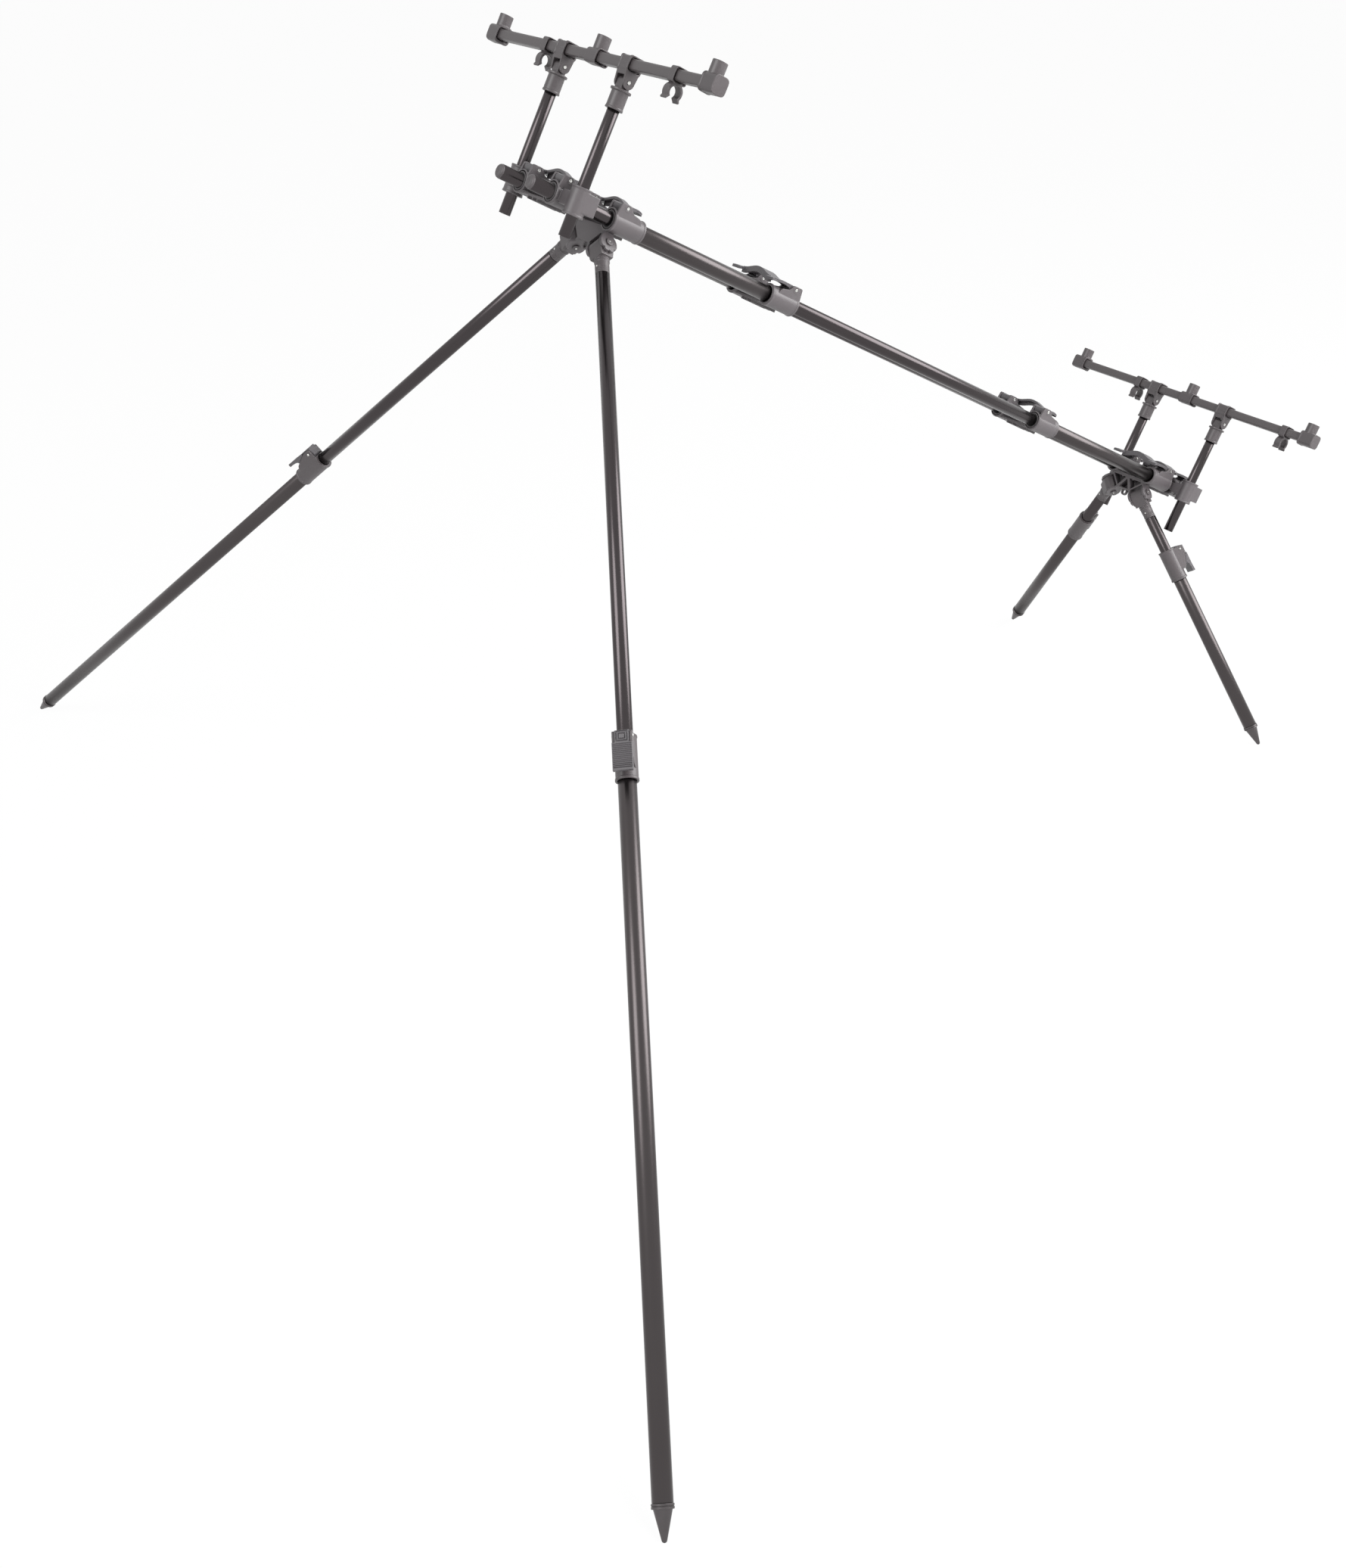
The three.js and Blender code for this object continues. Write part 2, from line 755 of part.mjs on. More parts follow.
// A collar on the bar with two ears that hang over the sleeve's tongue
function barBracket() {
  const half = bracketLength / 2;
  const pin = new THREE.Vector3(0, 0, -barRise);
  const shape = new THREE.Shape();
  shape.moveTo(bracketTopHalf, 0);
  shape.lineTo(-bracketTopHalf, 0);
  shape.lineTo(-bracketEarHalf, -barRise);
  shape.absarc(0, -barRise, bracketEarHalf, Math.PI, 2 * Math.PI, false);
  shape.closePath();
  const near = barTongueWidth / 2 + slideGap;
  const far = near + bracketEarThickness;
  const webDrop = barRise - barTongueHalf - bracketWebGap;
  const webHalf = bracketTopHalf + ((bracketEarHalf - bracketTopHalf) * webDrop) / barRise;
  const web = polygon([
    [bracketTopHalf, 0],
    [-bracketTopHalf, 0],
    [-webHalf, -webDrop],
    [webHalf, -webDrop],
  ]);
  const whole = join(
    barCollar(-half, half),
    slab('y', web, -far, far),
    slab('y', shape, near, far, camSteps),
    slab('y', shape, -far, -near, camSteps),
  );
  const bore = boreRadius(barPinDiameter / 2, smallSides);
  return cut(whole, rod('y', bore, -far - overrun, far + overrun, pin, smallSides));
}

// A rod head: a collar with an upright insert and its threaded socket
function rodHead(from, to, place) {
  const centre = new THREE.Vector3(0, place, 0);
  const whole = join(barCollar(from, to), rod('z', insertDiameter / 2, 0, insertRise, centre));
  const socketBottom = insertRise - socketDepth;
  return cut(whole, rod('z', socketDiameter / 2, socketBottom, insertRise + overrun, centre, headSides));
}

// The head that closes one end of the bar
function endRodHead(end, side) {
  const inner = end - side * headLength;
  const stop = end - side * headEndWall;
  const mouth = inner - side * overrun;
  const [from, to] = [Math.min(inner, end), Math.max(inner, end)];
  const [holeFrom, holeTo] = [Math.min(mouth, stop), Math.max(mouth, stop)];
  return cut(rodHead(from, to, end - side * insertFromEnd), barHole(holeFrom, holeTo));
}

// A collar with a C-clip below it, open downwards with flared lips
function barClip(place) {
  const from = place - clipWidth / 2;
  const to = place + clipWidth / 2;
  const outer = clipDiameter / 2;
  const inner = clipBore / 2;
  const first = radians((clipMouthAngle - 180) / 2);
  const last = Math.PI - first;
  const turn = radians(clipLipTurn);
  const tip = outer + clipLip;
  const corner = (radius, angle) => [radius * Math.cos(angle), radius * Math.sin(angle) - clipDrop];
  const shape = new THREE.Shape();
  shape.moveTo(...corner(outer, first + 2 * turn));
  shape.absarc(0, -clipDrop, outer, first + 2 * turn, last - 2 * turn, false);
  shape.lineTo(...corner(tip, last - turn));
  shape.lineTo(...corner(tip, last));
  shape.lineTo(...corner(inner, last));
  shape.absarc(0, -clipDrop, inner, last, first, true);
  shape.lineTo(...corner(tip, first));
  shape.lineTo(...corner(tip, first + turn));
  shape.closePath();
  const ring = slab('y', shape, from, to, clipSteps);
  const hole = barHole(from - overrun, to + overrun);
  return cut(join(ring, barCollar(from, to)), hole);
}

// Legs, drawn with the hinge pin at the origin and the leg hanging along -z
function legKnuckle() {
  const radius = tongueDiameter / 2;
  const shape = new THREE.Shape();
  shape.moveTo(sleeveDiameter / 2, -neckLength);
  shape.absarc(0, 0, radius, 0, Math.PI, false);
  shape.lineTo(-sleeveDiameter / 2, -neckLength);
  shape.closePath();
  const sleeve = sleeveDiameter / 2;
  const plug = innerDiameter / 2 - tubeWall - fit;
  const profile = [
    [0, -knucklePlugEnd],
    [plug, -knucklePlugEnd],
    [plug, -sleeveEnd],
    [sleeve, -sleeveEnd],
    [sleeve, -neckLength + overrun],
    [0, -neckLength + overrun],
  ];
  const pinHalf = tongueWidth / 2 + slideGap + earThickness + fit;
  return join(
    slab('y', shape, -tongueWidth / 2, tongueWidth / 2, camSteps),
    turned(profile),
    rod('y', legPinDiameter / 2, -pinHalf - fit, pinHalf + fit, origin, headSides),
    rod('y', legPinHead / 2, pinHalf, pinHalf + legPinHeadHeight, origin, headSides),
    rod('y', legPinHead / 2, -pinHalf - legPinHeadHeight, -pinHalf, origin, headSides),
  );
}

// The spike foot, drawn with its tip at the origin and its plug upwards
function spikeFoot() {
  const tip = tipDiameter / 2;
  const round = tipAngles.map(radians).map((angle) => {
    return [tip * Math.sin(angle), tip * (1 - Math.cos(angle))];
  });
  const coneTop = spikeLength - bandHeight;
  const plug = outerDiameter / 2 - tubeWall - fit;
  const profile = [
    ...round,
    [coneDiameter / 2, coneTop],
    [bandDiameter / 2, coneTop],
    [bandDiameter / 2, spikeLength],
    [plug, spikeLength],
    [plug, spikeLength + plugLength],
    [0, spikeLength + plugLength],
  ];
  return turned(profile);
}

// Leg locks, drawn with the mouth at z = 0, the tube along z and the lever on the +y side
function lockHousing() {
  const corners = [
    [0, -lockEarTop],
    [lockEarOut, -lockEarTop],
    [lockEarOut, -lockEarBottom],
    [lockHeelOut, -lockHeelDown],
    [0, -lockFootDown],
  ];
  const cheeks = slab('x', outline(corners, lockCorner), -lockWidth / 2, lockWidth / 2);
  const collar = rod('z', lockDiameter / 2, -lockLength, 0, origin, collarSides);
  const slot = lockSlotWidth / 2;
  const pivot = new THREE.Vector3(0, lockPivotOut, -lockPivotDown);
  const pinBore = boreRadius(lockPinDiameter / 2, smallSides);
  const pinReach = lockWidth / 2 + overrun;
  const floor = lockDiameter / 2 + lockFloorGap;
  const side = block(-slot, slot, floor, lockEarOut + overrun, -lockFootDown, overrun);
  return cut(
    join(collar, cheeks),
    side,
    rod('x', lockCamRadius() + lockWindow, -slot, slot, pivot),
    rod('x', pinBore, -pinReach, pinReach, pivot, smallSides),
    rod('z', boreRadius(innerDiameter / 2), -lockLength - overrun, overrun),
    rod('z', boreRadius(outerDiameter / 2), -lockLength - overrun, -lockSeat),
  );
}

// How far out the sloping edge of the lock's cheeks lies, at a distance below the lever's pivot
function cheekOut(below) {
  const slope = (lockHeelOut - lockEarOut) / (lockHeelDown - lockEarBottom);
  return lockEarOut + slope * (lockPivotDown + below - lockEarBottom);
}

function lockCamRadius() {
  return lockPivotOut - innerDiameter / 2 - camPressGap;
}

// The lock lever with its cam and pin, and below the ears a grip as wide as the housing
function lockLever() {
  const out = lockPivotOut;
  const down = -lockPivotDown;
  const shape = new THREE.Shape();
  shape.moveTo(out + lockFace, down + lockFaceTop);
  for (let i = 0; i <= camSteps; i += 1) {
    const angle = radians(lockCamTop + ((lockCamBottom - lockCamTop) * i) / camSteps);
    const radius = lockCamRadius() - (camLift * (1 + Math.cos(angle))) / 2;
    shape.lineTo(out + radius * Math.cos(angle), down + radius * Math.sin(angle));
  }
  shape.lineTo(out + lockWaistDepth, down - lockWaist);
  const tipOut = out + lockFace + lockTipFlare;
  const under = tipOut - lockTipThickness;
  shape.quadraticCurveTo(out + lockWaistDepth, down - lockFaceEnd, under, down - lockLeverEnd);
  shape.lineTo(tipOut, down - lockLeverEnd);
  shape.lineTo(out + lockFace, down - lockFaceEnd);
  shape.closePath();
  const grip = new THREE.Shape();
  grip.moveTo(out + lockFace, down - lockFaceEnd);
  grip.lineTo(out + lockFace, down - lockGripTop);
  grip.lineTo(cheekOut(lockGripTop) + slideGap, down - lockGripTop);
  grip.lineTo(cheekOut(lockGripHeel) + slideGap, down - lockGripHeel);
  grip.quadraticCurveTo(under, down - lockGripHeel, under, down - lockLeverEnd);
  grip.lineTo(tipOut, down - lockLeverEnd);
  grip.closePath();
  const half = lockSlotWidth / 2 - slideGap;
  const pinHalf = lockWidth / 2 + pinHead;
  const pivot = new THREE.Vector3(0, lockPivotOut, -lockPivotDown);
  return join(
    slab('x', shape, -half, half),
    slab('x', grip, -lockWidth / 2, lockWidth / 2, camSteps),
    rod('x', lockPinDiameter / 2, -pinHalf, pinHalf, pivot, smallSides),
  );
}

// One whole leg in its own group at a hub
function leg(name, place, side, angle, length, overlap, end) {
  const mouth = lockMouths[name];
  const group = new THREE.Group();
  group.applyMatrix4(legFrame(place, side, radians(angle)));
  const upperEnd = mouth + lockSeat + overlap;
  const tubeEnd = length - spikeLength;
  const lock = new THREE.Group();
  lock.position.z = -mouth;
  lock.rotation.z = -end * side * radians(lockTurn);
  lock.add(mesh(`${name}_lock_housing`, lockHousing(), 'nylon'));
  lock.add(mesh(`${name}_lock_lever`, lockLever(), 'lever'));
  const spike = mesh(`${name}_spike`, spikeFoot(), 'steel');
  spike.position.z = -length;
  const upper = tube('z', innerDiameter, -upperEnd, -sleeveEnd - fit);
  const lower = tube('z', outerDiameter, -tubeEnd + fit, -mouth - lockSeat - fit);
  group.add(mesh(`${name}_knuckle`, legKnuckle(), 'nylon'));
  group.add(mesh(`${name}_upper_tube`, upper, 'innerTube'));
  group.add(mesh(`${name}_lower_tube`, lower, 'outerTube'));
  group.add(lock, spike);
  return group;
}

// A clamp's group: mouth is -1 towards the front and 1 towards the rear
function clampGroup(place, mouth, ...pieces) {
  const group = new THREE.Group();
  group.position.x = place;
  group.rotation.z = mouth < 0 ? Math.PI : 0;
  group.add(...pieces);
  return group;
}

// The lever of a clamp; its arms are short where the clamp's mouth faces the front
function leverMesh(name, mouth) {
  return mesh(name, clampLever(mouth < 0 ? shortArm : longArm), 'lever');
}

// One goalpost: its clamp, uprights, crossbar and what is on the bar
function goalpost(end, options) {
  const { pivot, mouth, place, bottom, sleeveBottom, barNear, barFar, clips } = options;
  const group = new THREE.Group();
  const bar = new THREE.Group();
  bar.position.set(place, 0, sleeveBottom + barPinRise + barRise);
  const [barFrom, barTo] = [barNear + headEndWall + fit, barFar - headEndWall - fit];
  bar.add(mesh(`${end}_crossbar`, crossbar(barFrom, barTo, (barNear + barFar) / 2), 'outerTube'));
  for (const side of sides) {
    const name = `${end}_${sideNames[side]}`;
    const post = mesh(`${name}_upright`, upright(bottom, sleeveBottom), 'innerTube');
    post.position.set(place, side * uprightOut, 0);
    group.add(post);
    const barEnd = side < 0 ? barNear : barFar;
    bar.add(mesh(`${name}_rod_head`, endRodHead(barEnd, side), 'nylon'));
    bar.add(mesh(`${name}_bar_clip`, barClip(clips[side]), 'nylon'));
  }
  const body = goalpostClampBody(mouth * (place - pivot), mouth);
  const clamp = mesh(`${end}_goalpost_clamp`, body, 'casting');
  group.add(bar, clampGroup(pivot, mouth, clamp, leverMesh(`${end}_goalpost_lever`, mouth)));
  return group;
}

function hub(end, pivot, mouth, place) {
  const body = mesh(`${end}_hub`, hubBody(mouth * (place - pivot)), 'casting');
  return clampGroup(pivot, mouth, body, leverMesh(`${end}_hub_lever`, mouth));
}

function centreClamp(end, pivot, mouth) {
  const body = mesh(`${end}_centre_clamp`, cut(clampCollars(), ...clampCuts(true)), 'casting');
  return clampGroup(pivot, mouth, body, leverMesh(`${end}_centre_lever`, mouth));
}

// The rails with all they carry, level
function levelPod() {
  const group = new THREE.Group();
  group.add(...cappedRails('front', frontTipPlace, frontInnerEnd, -1));
  const seat = seatStop + fit;
  const [frontStart, frontEnd] = [frontHubPivot + seat, frontCentrePivot - seat];
  const [rearStart, rearEnd] = [rearCentrePivot + seat, rearHubPivot - seat];
  group.add(...rails('front', 'outer', outerDiameter, frontStart, frontEnd, 'outerTube'));
  group.add(...rails('centre', 'inner', innerDiameter, centreInnerStart, centreInnerEnd, 'innerTube'));
  group.add(...rails('rear', 'outer', outerDiameter, rearStart, rearEnd, 'outerTube'));
  group.add(...cappedRails('rear', rearTipPlace, rearInnerStart, 1));
  group.add(hub('front', frontHubPivot, -1, 0));
  group.add(centreClamp('front', frontCentrePivot, 1));
  group.add(centreClamp('rear', rearCentrePivot, -1));
  group.add(hub('rear', rearHubPivot, 1, rearLegPlace));
  group.add(goalpost('front', {
    pivot: frontGoalpostPivot,
    mouth: -1,
    place: frontUprightPlace,
    bottom: frontUprightBottom,
    sleeveBottom: frontSleeveBottom,
    barNear: frontBarNear,
    barFar: frontBarFar,
    clips: frontClipPlaces,
  }));
  group.add(goalpost('rear', {
    pivot: rearGoalpostPivot,
    mouth: 1,
    place: rearUprightPlace,
    bottom: rearUprightBottom,
    sleeveBottom: rearSleeveBottom,
    barNear: rearBarNear,
    barFar: rearBarFar,
    clips: rearClipPlaces,
  }));
  group.add(leg('front_near', 0, -1, frontLegAngle, frontLegLength, frontUpperOverlap, -1));
  group.add(leg('front_far', 0, 1, frontLegAngle, frontLegLength, frontUpperOverlap, -1));
  group.add(leg('rear_near', rearLegPlace, -1, rearLegAngle, rearLegLength, rearUpperOverlap, 1));
  group.add(leg('rear_far', rearLegPlace, 1, rearLegAngle, rearLegLength, rearUpperOverlap, 1));
  return group;
}

// The centre of a spike's round tip, with the rails level
function tipCentre(place, angle, length) {
  return new THREE.Vector3(0, 0, tipDiameter / 2 - length).applyMatrix4(legFrame(place, -1, radians(angle)));
}

// Tip the pod until all four spikes stand on the ground, with the origin below the middle of its box
function standingPod() {
  const frontTip = tipCentre(0, frontLegAngle, frontLegLength);
  const rearTip = tipCentre(rearLegPlace, rearLegAngle, rearLegLength);
  const pod = new THREE.Group();
  const rails = levelPod();
  rails.rotation.y = Math.atan2(rearTip.z - frontTip.z, rearTip.x - frontTip.x);
  pod.add(rails);
  const box = new THREE.Box3().setFromObject(pod, true);
  const middle = box.getCenter(new THREE.Vector3());
  rails.position.set(-middle.x, -middle.y, -box.min.z);
  pod.updateMatrixWorld(true);
  return pod;
}

export default standingPod();
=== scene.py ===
"""Fishing rod pod: smooth tubes, moulded clamps, levers, legs and goalposts in their real finishes.

Shapes are drawn in millimetres in each piece's own frame, then placed in metres from the joints.
The rails' frame has x along the rails to the low rear end, y to the far side and z up the goalposts.
"""

import json
import math

import bmesh
import bpy
from mathutils import Matrix, Vector


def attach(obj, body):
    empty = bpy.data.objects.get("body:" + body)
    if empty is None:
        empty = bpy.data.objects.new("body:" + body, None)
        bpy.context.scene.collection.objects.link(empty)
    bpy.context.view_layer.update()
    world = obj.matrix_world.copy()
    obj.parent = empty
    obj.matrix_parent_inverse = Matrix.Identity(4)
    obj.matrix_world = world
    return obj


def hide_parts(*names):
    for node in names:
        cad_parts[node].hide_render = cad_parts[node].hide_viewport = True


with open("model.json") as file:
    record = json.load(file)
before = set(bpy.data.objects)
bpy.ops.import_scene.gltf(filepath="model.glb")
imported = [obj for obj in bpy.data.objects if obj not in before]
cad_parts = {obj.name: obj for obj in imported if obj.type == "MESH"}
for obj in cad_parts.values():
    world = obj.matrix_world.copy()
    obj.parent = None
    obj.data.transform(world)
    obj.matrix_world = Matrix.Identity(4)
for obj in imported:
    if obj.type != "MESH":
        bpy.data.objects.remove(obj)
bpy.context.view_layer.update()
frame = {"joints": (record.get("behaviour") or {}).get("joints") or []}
joints = {joint["name"]: joint for joint in frame["joints"]}

MM = 0.001
SIDES = {-1: "near", 1: "far"}
ENDS = {"front": -1, "rear": 1}

# Fits and facets
FIT = 0.3
OVERRUN = 2
ROUND = 64
SMALL_ROUND = 32
CORNER_STEPS = 8
PIN_PLAY = 0.2
RIM_LENGTH = 3
SLEEVE_RIM = 0.7
BAND_RISE = 0.8

# Tubes
RAIL_HALF_SPACING = 50
OUTER_RADIUS = 14
INNER_RADIUS = 12
UPRIGHT_RADIUS = 10
TUBE_WALL = 1.5
TUBE_LIP = 0.4
CAP_LENGTH = 4
CAP_ROUND = 3
CAP_INSET = 0.5
CAP_RIM = 0.35
CAP_EASE = 0.3
CAP_DIMPLE = [(0, -0.6), (2.4, -0.45), (3, 0)]
CAP_PLAY = 0.1
PLUG_LENGTH = 14

# Places along the rails, from the front leg pivots; a clamp also has its mouth's side and its body
FRONT_TIP = -174
REAR_TIP = 1679
REAR_LEG_PLACE = 1531
FRONT_INNER_END = 90
CENTRE_INNER = (250, 1310)
REAR_INNER_START = 1440
UPRIGHT_PLACES = {"front": -108, "rear": 1602}
CLAMPS = {
    "front_goalpost": (-114, -1, "front_carriage"),
    "front_hub": (5.5, -1, "chassis"),
    "front_centre": (394, 1, "chassis"),
    "rear_centre": (1123, -1, "rear_chassis"),
    "rear_hub": (1564, 1, "rear_chassis"),
    "rear_goalpost": (1644, 1, "rear_carriage"),
}

# Rail clamps, measured from the lever pivot, mouth towards +x
COLLAR_RADIUS = 19
CLAMP_MOUTH = 18
CLAMP_TAIL = 48
SEAT_STOP = 8
PIVOT_HEIGHT = 26
PIN_RADIUS = 3
PIN_HEAD = 1
PIN_SLIM = 0.1
PIN_DOME = 0.5
PIN_DENT = 0.4
PIN_DENT_SHARES = (0.35, 0.45)
BOSS_RISE = 0.5
CHEEK_CORNERS = [(17, 8.6), (13, 32), (-6, 32), (-14, 22), (-30, 19), (-36, 8.6)]
CHEEK_ROUND = 2.5
CHEEK_THICKNESS = 4.5
CAM_WIDTH = 23
SLIDE_GAP = 0.5
WEB_TOP = -13
WEB_THICKNESS = 4
WEB_INSET = 4
RIB_DEPTH = 5
RIB_THICKNESS = 2.5
RIB_SPACING = 15
WINDOW_HALF = 15
WINDOW_DEPTH = 1
MOUTH_RING = 3.5
MOUTH_RING_RISE = 0.8
MOUTH_STEP = 1.2
RING_GAP = (15.2, 17.2)
RING_GAP_DEPTH = 3
TAIL_GAP = 1
TAIL_GAP_DEPTH = 4
BUSH_LENGTH = 1.6
BUSH_RADIUS = 13.4
BUSH_GAP = 0.15
BUSH_EASE = 0.3

# Clamp levers, measured from their pivot
CAM_RADIUS = PIVOT_HEIGHT - INNER_RADIUS - 0.6
CAM_LIFT = 1.2
CAM_ANGLES = (-175, 15)
LEVER_NOSE = 9
LEVER_RISE = 5
LEVER_KNEE_RISE = 6
LEVER_TIP_RISE = 3
LEVER_THICKNESS = 5
LONG_ARM = {"knee": 24, "bow_end": 46, "length": 55}
SHORT_ARM = {"knee": 20, "bow_end": 27, "length": 32}
BOW_START = 14
BOW_RISE = 8.5
BOW_LIP = 5
BOW_LIP_DROP = 6
BOW_BITE = 3
GRIP_COUNT = 4
GRIP_START = 4
GRIP_PITCH = 3
GRIP_RADIUS = 0.7
GRIP_RISE = 0.1
GRIP_SLOPE = 0.12

# Hubs
HUB_THICKNESS = 22
HUB_PLATE = 4
HUB_BOTTOM_HALF = 18
HUB_BOTTOM = 46
HUB_SHOULDER = 19
HUB_RIB = 3
POCKET_ROUND = 2
EYELET_RADIUS = 7.5
EYELET_HOLE_RADIUS = 4.5
EYELET_THICKNESS = 7
EYELET_DROP = 51
EAR_RADIUS = 17
EAR_THICKNESS = 5
EAR_BITE = 4
NOTCH_RADIUS = 2.5
NOTCH_ANGLES = (-135, -90, -45)

# Legs
LEG_PIVOT_OUT = 43
LEG_PIVOT_DROP = 47
SPLAY = math.radians(42.2)
LEG_ANGLES = {"front": math.radians(-2), "rear": math.radians(30)}
LEG_PLACES = {"front": 0, "rear": REAR_LEG_PLACE}
LEG_LENGTHS = {"front": 1938, "rear": 606}
UPPER_OVERLAPS = {"front": 150, "rear": 250}
TONGUE_RADIUS = 15
TONGUE_WIDTH = 29
NECK_LENGTH = 22
NECK_START = 12
NECK_RADIUS = 12.5
KNUCKLE_RADIUS = INNER_RADIUS
SLEEVE_END = 52
LEG_PIN_RADIUS = 4
LEG_PIN_HEAD_RADIUS = 6.5
LEG_PIN_HEAD_HEIGHT = 2.5
LEG_PIN_RISE = 1
RIVET_RADIUS = 1.7
RIVET_HOLE_RADIUS = 1.8
RIVET_DOME = 0.3
RIVET_SINK = 0.2
CROSS_RIVET_DOWN = 39
RING_PLACES = (25, 29)
RING_RISE = 0.9
RING_HALF = 1.2
GROOVE_PLACES = (42, 45, 48)
GROOVE_DEPTH = 0.8
GROOVE_HALF = 0.7
GROOVE_EASE = 0.3
SLEEVE_EASE = 0.8
SPIKE_LENGTH = 46
SPIKE_TIP_RADIUS = 3.75
CONE_RADIUS = OUTER_RADIUS - 1.5
BAND_RADIUS = OUTER_RADIUS + 1
BAND_HEIGHT = 7
BAND_EASE = 0.6
BAND_GROOVE = [(3, 0), (3.4, 0.6), (3.9, 0.6), (4.3, 0)]
BAND_TOP_EASE = 0.8

# Leg locks, measured from the mouth and the tube's centre line
LOCK_MOUTHS = {"front_near": 858, "front_far": 750, "rear_near": 133, "rear_far": 135}
LOCK_LENGTH = 70
LOCK_RADIUS = 17
LOCK_SEAT = 30
LOCK_TURN = math.radians(50)
LOCK_WIDTH = 30
LOCK_SLOT = 22
LOCK_PIVOT_OUT = 25
LOCK_PIVOT_DOWN = 9
LOCK_EAR_OUT = 32
LOCK_EAR_TOP = 2
LOCK_EAR_BOTTOM = 20
LOCK_HEEL_OUT = 21
LOCK_HEEL_DOWN = 50
LOCK_FOOT_DOWN = 56
LOCK_CORNER = 4
LOCK_FLOOR = LOCK_RADIUS + 1
LOCK_PIN_RADIUS = 2.5
LOCK_CAM_RADIUS = LOCK_PIVOT_OUT - INNER_RADIUS - 0.6
LOCK_WINDOW = 2.2
LOCK_FACE = 10
LOCK_FACE_TOP = 6
LOCK_FACE_END = 40
LOCK_LEVER_END = 56
LOCK_TIP_FLARE = 1
LOCK_TIP_THICKNESS = 6
LOCK_GRIP_TOP = 12.5
LOCK_GRIP_HEEL = 33
LOCK_WAIST = 18
LOCK_WAIST_DEPTH = 4
LOCK_CAM_ANGLES = (125, 250)
LOCK_RIB_COUNT = 14
LOCK_RIB_PITCH = 2.8
LOCK_RIB_START = 15
LOCK_RIB_GAP = 1.4
LOCK_RIB_DEPTH = 1.3
LOCK_RIB_INSET = 1
LOCK_FRAME_HALVES = ((8.8, 8.2), (7, 6.4), (5.4, 4.8), (3.9, 3.3))
LOCK_FRAME_DEPTH = 1.8
LOCK_FRAME_DOWN = 3
LOCK_FRAME_CORNER = 1
LOCK_TAIL_RIM = 4

# Goalposts: heights are above the rails' centre line
UPRIGHT_OUT = 98
UPRIGHT_BOTTOMS = {"front": -57, "rear": -91}
SLEEVE_BOTTOMS = {"front": 148, "rear": 117}
BLOCK_SLEEVE_RADIUS = 17
BLOCK_SLEEVE_HALF = 23
BLOCK_REACH = 28
BLOCK_BOTTOM = -14
BLOCK_TOP = 18
BLOCK_DEPTH = 26
BLOCK_CORNER = 3
FLANGE_HALF_LENGTH = 16
FLANGE_HALF_HEIGHT = 8
FLANGE_THICKNESS = 4
FLANGE_TOP = FLANGE_HALF_HEIGHT + FLANGE_THICKNESS
FLANGE_END = 70
BOLT_RADIUS = 5
BOLT_HEAD_HEIGHT = 4
BOLT_CROWN = [(0, -1), (4.2, -1), (4.2, 0.6), (5.6, 2.4), (4.6, BOLT_HEAD_HEIGHT), (0, BOLT_HEAD_HEIGHT)]
BOLT_BASE = 0.6
BOLT_WASHER = (5.4, -0.3, 0.8)
BOLT_OUT = 75.5
TOP_SLEEVE_RADIUS = 14
TOP_SLEEVE_LENGTH = 30
TOP_SLEEVE_COVER = 6
WASHER_RADIUS = 17
WASHER_THICKNESS = 1.6
TOP_FOOT = ((13, -1), (9.5, 4))
UPRIGHT_TOP_GAP = 0.2
BAR_PIN_RISE = 44
BAR_RISE = 26.6
BAR_PIN_RADIUS = 3
BAR_TONGUE_WIDTH = 19
BAR_TONGUE_HALF = 8
BRACKET_EAR_THICKNESS = 4
BRACKET_EAR_HALF = 10.5
BRACKET_TOP_HALF = 14
BRACKET_WEB_GAP = 1

# Crossbars
BAR_HALF_WIDTH = 10
BAR_HALF_HEIGHT = 8.5
BAR_CORNER = 5
BAR_WALL = 2
BAR_ENDS = {"front": (-341, 346), "rear": (-340, 352)}
FITTING_WALL = 3.5
FITTING_MOUTH_GAP = 1.9
FITTING_MOUTH_DEPTH = 5
BRACKET_LENGTH = 28
HEAD_LENGTH = 34
HEAD_END_WALL = 3
INSERT_FROM_END = 21.5
INSERT_RADIUS = 12
INSERT_RISE = 33
HEAD_HALF_HEIGHT = 14
HEAD_CORNER = 8
BAR_PLAY = 0.05
SOCKET_RADIUS = 5.25
SOCKET_DEPTH = 20
THREAD_PITCH = 1.6
THREAD_WALL = 0.9
THREAD_LIP = [(THREAD_WALL, -0.3), (0.7, -0.1), (0.2, -0.1)]
THREAD_START = -0.7
THREAD_VALLEY = 0.45
THREAD_CREST = -0.15
THREAD_FOOT = 0.5
THREAD_FOOT_WALL = 0.3
CLIP_WIDTH = 15
CLIP_RADIUS = 14
CLIP_BORE_RADIUS = 9.5
CLIP_DROP = 24
CLIP_MOUTH = 84
CLIP_LIP = 4
CLIP_LIP_TURN = 8
CLIP_PLACES = {"front": {-1: -232, 1: 152}, "rear": {-1: -264, 1: 148}}

ALONG = Matrix.Rotation(math.pi / 2, 4, "Y")
ACROSS = Matrix.Rotation(math.pi / 2, 4, "X")
SIDEWAYS = Matrix.Rotation(math.pi / 2, 4, "Z") @ ACROSS


# Solids, in millimetres

def linked(name, data):
    """A new object in the scene."""
    made = bpy.data.objects.new(name, data)
    bpy.context.scene.collection.objects.link(made)
    return made


